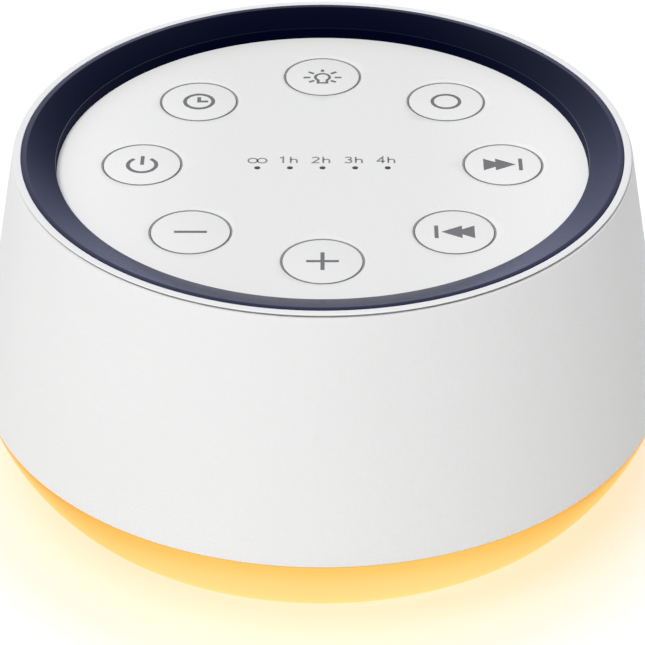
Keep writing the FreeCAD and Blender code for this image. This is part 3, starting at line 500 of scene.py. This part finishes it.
steel_color = socket_steel.mix(srgb(214, 214, 212), srgb(188, 187, 184), tongue_grain)
socket_steel.feed(Base_Color=socket_steel.mix(steel_color, srgb(26, 26, 28), tongue))
socket_steel.feed(Metallic=1.0 - tongue)
dress(socket_steel, "power_socket")


# Outer shell: one injection moulding in satin white ABS, tapered so that it leaves the mould
# upwards, with the power socket's oval recess in its rear. The texture is a fine spark
# erosion that kills reflections but keeps a soft sheen.
shell_top = 55.4
shell_top_radius = 47.39
shell_thickness = 2.2
rim_seat = 46.8
rim_seat_foot = 54.0
ledge_top = 49.8
ledge_bottom = 47.8
ledge_inner = 39.9
shell_turns = 360


def side_radius(height):
    """Outside radius of the taper at a height."""
    share = (height - seam_height) / (shell_top - seam_height)
    return seam_radius + share * (shell_top_radius - seam_radius)


def wall_rows(heights, inset):
    """Outline points on the taper at the heights, moved inwards by the inset."""
    return np.stack([side_radius(heights) - inset, heights], axis=-1)


# Both walls of the shell's grid are left open round the socket: a window of 16 rows, and of 13
# columns to each side of the rear. The sleeve further down joins the two windows.
window_half = 6.2
window_cells = 16
window_side = 13
window_heights = np.linspace(socket_height - window_half, socket_height + window_half,
                             window_cells + 1)
below = np.linspace(seam_height, window_heights[0], 5)[1:-1]
above = np.linspace(window_heights[-1], shell_top, 7)[1:-1]
# The first and last points of the two rounded edges only give directions, and are cut off.
foot_round = softened([(51.9, seam_height), (seam_radius, seam_height, 0.2), (53.93, 17.5)])[1:-1]
top_round = softened([(side_radius(54.4), 54.4), (shell_top_radius, shell_top, 0.1),
                      (rim_seat, shell_top)])[1:-1]
outer_rows = np.concatenate([foot_round, wall_rows(below, 0), wall_rows(window_heights, 0),
                             wall_rows(above, 0), top_round])
ledge_rows = np.concatenate([
    [(rim_seat, shell_top), (rim_seat, rim_seat_foot)],
    wall_rows(np.array([rim_seat_foot, ledge_top]), shell_thickness),
    [(ledge_inner, ledge_top), (ledge_inner, ledge_bottom)],
    wall_rows(np.array([ledge_bottom]), shell_thickness),
])
inner_rows = np.concatenate([wall_rows(window_heights[::-1], shell_thickness),
                             wall_rows(below[::-1], shell_thickness),
                             wall_rows(np.array([seam_height]), shell_thickness)])
shell_rows = np.concatenate([outer_rows, ledge_rows, inner_rows])
shell_points = turned_points(shell_rows, shell_turns)
outer_first = len(foot_round) + len(below)
inner_last = len(outer_rows) + len(ledge_rows) + window_cells
rear = shell_turns // 4
kept = np.ones(shell_points.shape[:2], bool)
kept[outer_first:outer_first + window_cells, rear - window_side:rear + window_side] = False
kept[inner_last - window_cells:inner_last, rear - window_side:rear + window_side] = False
shell_faces = grid_faces(len(shell_rows), shell_turns)[kept]


def window_edge(bottom, step):
    """The loop of grid points round a window, from its lower right corner up the side."""
    rows = bottom + step * np.arange(window_cells + 1)
    columns = np.arange(rear - window_side, rear + window_side + 1)
    return np.concatenate([
        shell_points[rows[:-1], columns[0]], shell_points[rows[-1], columns[:-1]],
        shell_points[rows[:0:-1], columns[-1]], shell_points[rows[0], columns[:0:-1]],
    ])


def oval(half_width, half_height, toward):
    """Points of a flat oval in the directions given: straight sides and half-round ends."""
    way = toward / np.linalg.norm(toward, axis=1, keepdims=True)
    straight = half_width - half_height
    on_side = half_height / np.maximum(np.abs(way[:, 1]), 1e-9)
    end_x = straight * np.abs(way[:, 0])
    on_end = end_x + np.sqrt(end_x ** 2 - straight ** 2 + half_height ** 2)
    flat = on_side * np.abs(way[:, 0]) <= straight
    return way * np.where(flat, on_side, on_end)[:, None]


outer_edge = window_edge(outer_first, 1)
inner_edge = window_edge(inner_last, -1)
recess_way = outer_edge[:, [0, 2]] - np.array([0.0, socket_height])


def on_wall(flat, inset):
    """Lifts points (x, z), measured from the socket, on to the taper, less an inset."""
    height = flat[:, 1] + socket_height
    depth = np.sqrt((side_radius(height) - inset) ** 2 - flat[:, 0] ** 2)
    return np.stack([flat[:, 0], depth, height], axis=-1)


def at_depth(flat, depth):
    """Places points (x, z), measured from the socket, at a distance y from the axis."""
    return np.stack([flat[:, 0], np.full(len(flat), depth), flat[:, 1] + socket_height], axis=-1)


# The sleeve runs from the outer window over the recess's rounded brim, down its side, across
# its floor, through the mouth round the socket and along the wall's back to the inner window.
recess_floor = 47.0
mouth_end = 46.0
recess = oval(6.4, 3.5, recess_way)
brim = oval(6.75, 3.85, recess_way)
mouth = oval(4.77, 1.88, recess_way)
tunnel = oval(7.6, 4.7, recess_way)
inner_way = inner_edge[:, [0, 2]] - np.array([0.0, socket_height])
stations = [outer_edge]
for share in (0.25, 0.5, 0.75):
    stations.append(on_wall(recess_way * (1 - share) + brim * share, 0.0))
sunk = on_wall(recess, 0.35)
stations += [
    on_wall(brim, 0.0),
    on_wall(oval(6.5, 3.6, recess_way), 0.1),
    sunk,
    (sunk + at_depth(recess, recess_floor + 0.3)) / 2,
    at_depth(recess, recess_floor + 0.25),
    at_depth(oval(6.3, 3.4, recess_way), recess_floor + 0.05),
    at_depth(oval(6.1, 3.2, recess_way), recess_floor),
    at_depth(oval(4.92, 2.03, recess_way), recess_floor),
    at_depth(mouth, recess_floor - 0.15),
    at_depth(mouth, mouth_end),
    at_depth(tunnel, mouth_end),
    on_wall(tunnel, shell_thickness),
    on_wall((tunnel + inner_way) / 2, shell_thickness),
    inner_edge,
]
sleeve = np.array(stations)
sleeve_faces = grid_faces(sleeve.shape[0], sleeve.shape[1], shell_points[..., 0].size)[:-1]
shell = piece_of("tapered_shell",
                 np.concatenate([shell_points.reshape(-1, 3), sleeve.reshape(-1, 3)]),
                 np.concatenate([shell_faces, sleeve_faces.reshape(-1, 4)]).tolist(), 30.0)
shell_white = moulded("shell_white", srgb(235, 235, 235), srgb(230, 230, 230), 0.42, 0.14,
                      0.00035, 0.00006, Specular_IOR_Level=0.4)
belongs(shell, shell_white, "housing", "shell_white", "outer_shell")

# Rim: a narrow white ring clipped into the shell's top edge, a touch glossier than the shell,
# with a rolled outer edge. Its lip stands over a short neck that is painted grey as shade, so
# that a dark shadow groove runs round between rim and shell.
top = 56.0
rim_outer = 47.15
rim_inner = 46.05
lip_height = 55.85
neck_radius = 46.75
tongue_inner = 44.05
band_seat = 54.8
rim_outline = softened([
    (rim_outer, top, 0.1), (rim_outer, lip_height, 0.03), (neck_radius, lip_height),
    (neck_radius, rim_seat_foot), (tongue_inner, rim_seat_foot), (tongue_inner, band_seat),
    (rim_inner, band_seat), (rim_inner, top, 0.06),
])
rim = turned("white_rim", rim_outline, 360, sharp=50.0)
rim_white = eroded("rim_white", 0.36, 0.1, 0.00035, 0.000008, Specular_IOR_Level=0.45)
# Below the lip the rim is painted grey: painted shade in the groove over the shell.
neck = rim_white.along("Z").ease(0.05584, 0.05586)
rim_white.feed(Base_Color=rim_white.mix(srgb(195, 195, 194), srgb(242, 242, 242), neck))
belongs(rim, rim_white, "housing", "shell_white", "rim_ring")

# Dark ring: navy ABS with a satin gloss. Its flat band lies level with the rim, then a face
# slopes inwards and ends in a short drop to the panel, which keeps the mould's dull texture.
# The navy is painted lighter towards the front, most on the drop, as painted light, and the
# coat's gloss is made stronger or weaker round the ring as painted reflection.
# Four screws from below hold it to the shell's ledge.
band_outer = 46.0
band_inner = 45.2
wall_radius = 40.8
wall_top = 54.54
panel_top = 52.6
panel_bottom = 50.8
flange_inner = 38.6
flange_outer = 44.0
ring_outline = softened([
    (band_outer, band_seat), (band_outer, top, 0.06), (band_inner, top, 0.1),
    (wall_radius, wall_top, 0.14), (wall_radius, panel_top), (wall_radius, panel_bottom),
    (flange_inner, panel_bottom), (flange_inner, ledge_top), (flange_outer, ledge_top),
    (flange_outer, band_seat),
], 5)
ring = turned("navy_ring", ring_outline, 360, sharp=50.0)
navy = Finish("accent_navy", Specular_IOR_Level=0.0, Coat_Roughness=0.22)
navy_drift = navy.grain(0.02, 1.0)
navy_fine = navy.grain(0.0003, 3.0)
# This share is 1 at the front of the ring and -1 at its back. With it the navy is painted
# lighter towards the front, as painted light, and the coat's gloss changes round the ring, as
# painted reflection. face is 0 on the drop to the panel.
ring_painted_front_light = navy.along("Y") * -1.0 / navy.reach()
deep = navy.mix(srgb(2, 5, 27), srgb(3, 8, 32), navy_drift)
face = navy.along("Z").ease(0.05425, 0.0545)
# Painted light: face and drop turn lighter navy towards the front of the ring.
face_painted_light = navy.mix(deep, srgb(10, 15, 48), ring_painted_front_light.ease(-0.9, 0.6))
wall_painted_light = navy.mix(deep, srgb(40, 44, 72), ring_painted_front_light.ease(-1.0, 0.1))
navy.feed(Base_Color=navy.mix(wall_painted_light, face_painted_light, face))
navy.feed(Roughness=0.5 + 0.1 * navy_fine)
# Painted reflection: the coat is strongest at the sides of the face and weaker at front and back.
face_painted_sheen = 0.5 + 0.5 * ring_painted_front_light.ease(-1.0, -0.8) - 0.2 * ring_painted_front_light.ease(0.1, 0.5)
face_painted_sheen = face_painted_sheen - 0.15 * ring_painted_front_light.ease(0.8, 1.0)
wall_painted_sheen = 0.08 * ring_painted_front_light.ease(-1.1, 0.2)
navy.feed(Coat_Weight=face * face_painted_sheen + (1.0 - face) * wall_painted_sheen)
navy.relief(navy_fine, 0.000004)
belongs(ring, navy, "housing", "accent_navy", "accent_ring")

# Panel: a flat white disc with a hole for each button, dropped in from below against the dark
# ring. A shallow step round each hole, painted grey below the face as shade in the gap, shows as
# one fine grey line round its button. The disc is also painted paler towards its left and right
# edges, as painted light.
panel_edge = 40.75
button_ring = 27.7
hole = 6.23
hole_brim = hole + 0.06
hole_throat = 5.96
hole_step = 0.15
# Eight equal sectors make the disc, each a fan of points round its own hole. In the direction
# way, a fan reaches to the disc's edge or to the sector's straight side, whichever is nearer.
half_sector = math.pi / 8
corner_way = math.atan2(panel_edge * math.sin(half_sector),
                        panel_edge * math.cos(half_sector) - button_ring)
steps = np.arange(-60, 61) * (math.pi / 60)
way = np.unique(np.round(np.concatenate([steps, [corner_way, -corner_way]]), 9))[1:]
slant = math.tan(half_sector)
arc_reach = (-button_ring * np.cos(way)
             + np.sqrt(panel_edge ** 2 - (button_ring * np.sin(way)) ** 2))
lean = np.abs(np.sin(way)) - slant * np.cos(way)
side_reach = np.where(lean > 1e-9, button_ring * slant / np.maximum(lean, 1e-9), 1e9)
sector_reach = np.minimum(arc_reach, side_reach)
sector_stations = []
for share in (1.0, 0.6, 0.3, 0.12):
    sector_stations.append((hole_brim + share * (sector_reach - hole_brim), panel_top))
for radius, height in ((hole_brim, panel_top), (hole + 0.02, panel_top - 0.02),
                       (hole, panel_top - 0.06), (hole, panel_top - hole_step),
                       (hole_throat, panel_top - hole_step), (hole_throat, panel_bottom)):
    sector_stations.append((np.full(len(way), radius), height))
sector_stations.append((sector_reach, panel_bottom))
panel_points = []
panel_faces = []
for turn in np.radians(45.0 * np.arange(8)):
    sector = np.array([
        np.stack([button_ring + reach * np.cos(way), reach * np.sin(way),
                  np.full(len(way), height)], axis=-1) for reach, height in sector_stations
    ])
    rotation = np.array([[math.cos(turn), math.sin(turn), 0.0],
                         [-math.sin(turn), math.cos(turn), 0.0], [0.0, 0.0, 1.0]])
    start = sum(len(part) for part in panel_points)
    panel_faces.append(grid_faces(*sector.shape[:2], start)[:-1].reshape(-1, 4))
    panel_points.append(sector.reshape(-1, 3) @ rotation)
    arc = np.flatnonzero(np.abs(way) <= corner_way + 1e-9)
    first_edge = start + arc
    last_edge = start + (len(sector_stations) - 1) * len(way) + arc
    panel_faces.append(np.stack([first_edge[:-1], first_edge[1:], last_edge[1:], last_edge[:-1]],
                                axis=-1))
panel = piece_of("button_panel", np.concatenate(panel_points),
                 np.concatenate(panel_faces).tolist(), 30.0)
panel_white = eroded("panel_white", 0.5, 0.12, 0.0003, 0.00004, Specular_IOR_Level=0.35)
# Painted light: the white turns paler towards the left and right of the panel.
panel_painted_side_light = panel_white.along("X").size().ease(0.012, 0.04)
# Below the face the walls of holes and caps are painted grey: painted shade in the gaps.
seam = panel_white.along("Z").ease(0.0525, 0.05258)
paler = panel_white.mix(srgb(242, 242, 241), srgb(252, 252, 251), panel_painted_side_light)
panel_white.feed(Base_Color=panel_white.mix(srgb(152, 152, 152), paler, seam))
belongs(panel, panel_white, "housing", "panel_white", "top_panel")

# Buttons: eight hollow white caps from the same plastic as the panel, flush with it, each on
# the black plunger of its own switch. A flange under the panel keeps them in.
button_names = ["sound", "next", "previous", "volume_up", "volume_down", "power", "timer",
                "light"]
button_places = {name: around(button_ring, 1, 45.0 - 45.0 * i)[0]
                 for i, name in enumerate(button_names)}
cap_radius = 5.87
cap_inner = 4.92
cap_ceiling = 51.6
flange_radius = 6.91
flange_top = 50.7
flange_bottom = flange_top - 0.8
stem_radius = 1.75
stem_foot = 47.2
button_outline = softened([
    (0.0, panel_top), (cap_radius, panel_top, 0.1), (cap_radius, flange_top),
    (flange_radius, flange_top, 0.1), (flange_radius, flange_bottom),
    (cap_inner, flange_bottom), (cap_inner, cap_ceiling), (stem_radius, cap_ceiling),
    (stem_radius, stem_foot, 0.15), (0.0, stem_foot),
])
for name, place in button_places.items():
    cap = turned(name + "_cap", button_outline, 128, [place], sharp=30.0)
    # The caps share the panel's finish: their sides are painted grey as shade in the gap, and the
    # caps paler to the left and right as painted light.
    belongs(cap, panel_white, name + "_key", "panel_white", name + "_button")
    dress(black, name + "_switch_plunger")

# Timer lights: five clear acrylic pins on a common bar under the panel, each carrying the
# light of its own lamp up to a small smoked dome that stands just proud of the panel.
timer_row = -1.0
timer_places = [(x, timer_row) for x in (-10.0, -5.0, 0.0, 5.0, 10.0)]
pin_radius = 0.52
pin_shoulder = 0.9
pin_foot = 44.5
pin_outline = [
    (0.0, 52.64), (0.3, 52.635), (0.45, 52.61), (pin_radius, 52.58), (pin_radius, 50.9),
    (pin_shoulder, panel_bottom), (pin_shoulder, pin_foot), (0.0, pin_foot),
]
pins = turned("timer_pins", pin_outline, 40, timer_places)
smoke = Finish("timer_smoke", Specular_IOR_Level=0.1)
bubbles = smoke.grain(0.0004, 2.0)
smoke.feed(Base_Color=smoke.mix(srgb(84, 83, 82), srgb(72, 71, 70), bubbles))
smoke.feed(Roughness=0.25 + 0.15 * bubbles)
belongs(pins, smoke, "housing", "clear_plastic", "timer_light_guide")


# Printed signs: mid-grey pad printing on the button faces, thin upright marks for a viewer in
# front. The hours beside the timer lights are printed on the panel in a slightly paler grey.
class Print:
    """Flat prisms of ink, a few hundredths of a millimetre thick, gathered into one piece."""

    def __init__(self, centre):
        self.centre = np.array(centre, float)
        self.points = []
        self.faces = []
        self.count = 0

    def prism(self, loops, faces):
        """Adds loops of points, with faces that count from the first of them."""
        points = np.concatenate(loops)
        self.points.append(points)
        self.faces += [[self.count + i for i in face] for face in faces]
        self.count += len(points)

    def lifted(self, outline, height):
        """Moves an outline from round (0, 0) to the sign's centre, at a height."""
        flat = np.asarray(outline, float) + self.centre
        return np.column_stack([flat, np.full(len(flat), height)])

    def patch(self, outline):
        """A filled outline: the same loop below and above, joined by its sides."""
        size = len(outline)
        low = np.arange(size)
        sides = np.stack([low, np.roll(low, -1), np.roll(low, -1) + size, low + size], -1)
        faces = sides.tolist() + [low[::-1].tolist(), (low + size).tolist()]
        self.prism([self.lifted(outline, ink_foot), self.lifted(outline, ink_top)], faces)

    def line(self, path, width, closed=False):
        """A band along a path: each point moves half the width to both sides, along the mean of
        the directions square to its two stretches, so the band keeps its width at corners."""
        path = np.asarray(path, float)
        step = np.roll(path, -1, axis=0) - path
        step /= np.linalg.norm(step, axis=1, keepdims=True)
        before = np.roll(step, 1, axis=0)
        if not closed:
            before[0] = step[0]
            step[-1] = before[-1]
        square = np.stack([-(before + step)[:, 1], (before + step)[:, 0]], -1)
        half = width / np.sum(square * square, axis=1, keepdims=True)
        left = path + square * half
        right = path - square * half
        rows = [self.lifted(left, ink_foot), self.lifted(left, ink_top),
                self.lifted(right, ink_top), self.lifted(right, ink_foot)]
        size = len(path)
        faces = grid_faces(4, size)
        if not closed:
            faces = faces[:, :-1]
        faces = faces.reshape(-1, 4).tolist()
        if not closed:
            faces += [[0, size, 2 * size, 3 * size],
                      [4 * size - 1, 3 * size - 1, 2 * size - 1, size - 1]]
        self.prism(rows, faces)

    def piece(self, name, finish, body):
        """Makes one piece of all that was drawn."""
        made = piece_of(name, np.concatenate(self.points), self.faces, 30.0)
        belongs(made, finish, body, "accent_navy")


def bow(middle, radius, first, last, steps=32):
    """Points on a circle between two angles in degrees."""
    return curve(middle, radius, math.radians(first), math.radians(last), steps)


def loop(radius, steps=72):
    """Points on a whole circle round (0, 0), the first one not repeated."""
    return bow((0.0, 0.0), radius, 0.0, 360.0, steps + 1)[:-1]


ink_foot = panel_top - 0.01
ink_top = panel_top + 0.015
ink = moulded("printed_grey", srgb(126, 126, 127), srgb(120, 120, 121), 0.6, 0.1, 0.0003, 0.000004)
pale_ink = moulded("printed_pale_grey", srgb(140, 140, 141), srgb(134, 134, 135), 0.6, 0.1, 0.0003,
                   0.000004)
stroke = 0.6

sign = Print(button_places["timer"])
sign.line(loop(2.24), stroke, closed=True)
sign.line([(0.0, 1.4), (0.0, 0.0), (1.45, 0.0)], stroke)
sign.piece("timer_sign", ink, "timer_key")

sign = Print(button_places["sound"])
sign.line(loop(2.17), stroke - 0.04, closed=True)
sign.piece("sound_sign", ink, "sound_key")

sign = Print(button_places["power"])
sign.line(bow((0.0, -0.15), 2.18, 90.0 + 35.0, 450.0 - 35.0, 60), stroke)
sign.line([(0.0, 2.5), (0.0, -0.1)], 0.57)
sign.piece("power_sign", ink, "power_key")

sign = Print(button_places["volume_down"])
sign.line([(-2.45, 0.0), (2.45, 0.0)], stroke)
sign.piece("volume_down_sign", ink, "volume_down_key")

sign = Print(button_places["volume_up"])
arm = 2.4
thick = stroke / 2
quarter = np.array([(thick, thick), (thick, arm), (-thick, arm)])
turns = [np.array([[c, s], [-s, c]]) for c, s in ((1, 0), (0, 1), (-1, 0), (0, -1))]
sign.patch(np.concatenate([quarter @ t for t in turns]))
sign.piece("volume_up_sign", ink, "volume_up_key")

for name, way_round in (("next", 1.0), ("previous", -1.0)):
    sign = Print(button_places[name])
    arrows = np.array([(-3.0, -1.75), (-1.15, -0.706), (-1.15, -1.75), (1.95, 0.0),
                       (-1.15, 1.75), (-1.15, 0.706), (-3.0, 1.75)])
    bar = np.array([(2.4, -1.75), (3.0, -1.75), (3.0, 1.75), (2.4, 1.75)])
    sign.patch(arrows * (way_round, 1.0))
    sign.patch(bar * (way_round, 1.0))
    sign.piece(name + "_sign", ink, name + "_key")

sign = Print(button_places["light"])
bulb = np.concatenate([bow((0.0, -0.2), 1.15, -52.0, 232.0, 44),
                       np.array([(-0.71, -2.05), (0.71, -2.05)])])
sign.line(bulb, 0.46, closed=True)
for side in (-1.0, 1.0):
    sign.line([(side * 1.95, -0.3), (side * 3.05, -0.3)], 0.5)
    sign.line([(side * 1.36, 0.94), (side * 2.25, 1.58)], 0.48)
    sign.line([(side * 1.3, -1.31), (side * 2.15, -1.8)], 0.48)
sign.line([(0.0, 1.6), (0.0, 2.3)], 0.55)
sign.piece("light_sign", ink, "light_key")

hours = Print((0.0, 0.0))
label_foot = 0.42
label_size = (2.25, 1.88)
digit_width = 1.65
endless_radius = 0.7
endless_height = 1.15
thin = 0.27


def written(glyph, x):
    """Draws one sign of a label, given in parts of its size, with its left edge at x."""
    for path, closed in glyph:
        hours.line(np.asarray(path) * label_size + (x, label_foot), thin, closed)


one = [([(0.06, 0.78), (0.27, 0.97), (0.27, 0.0)], False)]
letter_h = [([(0.05, 1.0), (0.05, 0.0)], False),
            (np.concatenate([[(0.05, 0.42)], bow((0.27, 0.42), 0.2, 150.0, 0.0, 12),
                             [(0.47, 0.0)]]), False)]
two = [(np.concatenate([bow((0.27, 0.72), 0.22, 165.0, -40.0, 16),
                        [(0.05, 0.05), (0.52, 0.05)]]), False)]
three = [(np.concatenate([bow((0.26, 0.74), 0.21, 150.0, -80.0, 14),
                          bow((0.26, 0.28), 0.24, 80.0, -150.0, 16)]), False)]
four = [([(0.4, 0.0), (0.4, 0.97), (0.03, 0.3), (0.55, 0.3)], False)]
for i, digit in enumerate((one, two, three, four)):
    middle = timer_places[i + 1][0]
    written(digit, middle - digit_width)
    written(letter_h, middle)
for side in (-1.0, 1.0):
    eye_place = (timer_places[0][0] + side * (endless_radius + 0.01), endless_height)
    hours.line(loop(endless_radius, 32) + eye_place, thin, closed=True)
hours.piece("hour_marks", pale_ink, "housing")

# Surroundings: a plain pale floor whose glow has the lamp's amber pool painted into it round the
# machine, as painted light, a soft bright sky whose reflection is strongest low behind the
# machine, and one large soft panel of light, high up at the front left.
floor_half = 3000.0
floor = piece_of("floor", [(-floor_half, -floor_half, 0.0), (floor_half, -floor_half, 0.0),
                           (floor_half, floor_half, 0.0), (-floor_half, floor_half, 0.0)],
                 [(0, 1, 2, 3)])
if floor.data.polygons[0].normal.z < 0:
    floor.data.flip_normals()
paper_white = Finish("floor_white", Roughness=0.9, Specular_IOR_Level=0.1,
                     Emission_Strength=0.85)
fibres = paper_white.grain(0.004, 3.0)
paper_white.feed(Base_Color=paper_white.mix(srgb(137, 137, 136), srgb(133, 133, 132), fibres))
# The floor's glow is painted amber round the machine: a painted pool of the lamp's light.
ramp_reach = 0.1
stops = [(0.0, (0.99, 0.90, 0.75, 1.0)), (0.42, (0.99, 0.89, 0.65, 1.0)),
         (0.48, (0.99, 0.86, 0.62, 1.0)), (0.56, (0.99, 0.85, 0.70, 1.0)),
         (0.65, (0.99, 0.95, 0.92, 1.0)), (0.75, (0.99, 0.99, 0.99, 1.0))]
pool = paper_white.node("ShaderNodeValToRGB", {"stops": stops},
                        {"Fac": paper_white.reach() / ramp_reach})
paper_white.feed(Emission_Color=pool)
floor.data.materials.append(paper_white.material)

sky = bpy.data.worlds.new("sky")
bpy.context.scene.world = sky
sky.use_nodes = True
air = Tree(sky.node_tree)
direction = air.node("ShaderNodeTexCoord", output="Generated")
sideways = air.node("ShaderNodeSeparateXYZ", None, {0: direction}, "X")
behind = air.node("ShaderNodeSeparateXYZ", None, {0: direction}, "Y")
upward = air.node("ShaderNodeSeparateXYZ", None, {0: direction}, "Z")
# Glossy rays meet a sky that is bright low behind the machine, in the middle and to the left.
# All other rays meet a plain sky that grows a little brighter to the left.
mirrored = air.node("ShaderNodeLightPath", output="Is Glossy Ray")
low_behind = (1.0 - upward.ease(0.25, 1.05)) * behind.ease(0.0, 0.9)
leftward = 1.0 - 0.9 * sideways.ease(-0.1, 0.43)
middle = 1.0 - sideways.size().ease(0.05, 0.25)
reflected = 0.03 + low_behind * (0.72 * leftward + 0.75 * middle)
scattered = 0.28 - 0.17 * sideways
brightness = scattered + mirrored * (reflected - scattered)
tint = air.mix((1.0, 1.0, 1.0, 1.0), (0.84, 0.88, 1.2, 1.0), mirrored)
backdrop = sky.node_tree.nodes["Background"]
air.tree.links.new(tint.socket, backdrop.inputs["Color"])
air.tree.links.new(brightness.socket, backdrop.inputs["Strength"])

key_place = np.array([-0.53, -1.46, 3.04])
key_aim = np.array([0.0, 0.0, 0.03])
key_panel = bpy.data.lights.new("key_light", "AREA")
key_panel.shape = "SQUARE"
key_panel.size = 1.7
key_panel.energy = 91.0
key_light = bpy.data.objects.new("key_light", key_panel)
key_light.location = key_place
across, along, down = key_aim - key_place
key_light.rotation_euler = Euler((math.atan2(math.hypot(across, along), -down), 0.0,
                                  math.atan2(-across, along)))
key_light.visible_glossy = False
bpy.context.scene.collection.objects.link(key_light)
bpy.context.scene.view_settings.view_transform = "Standard"
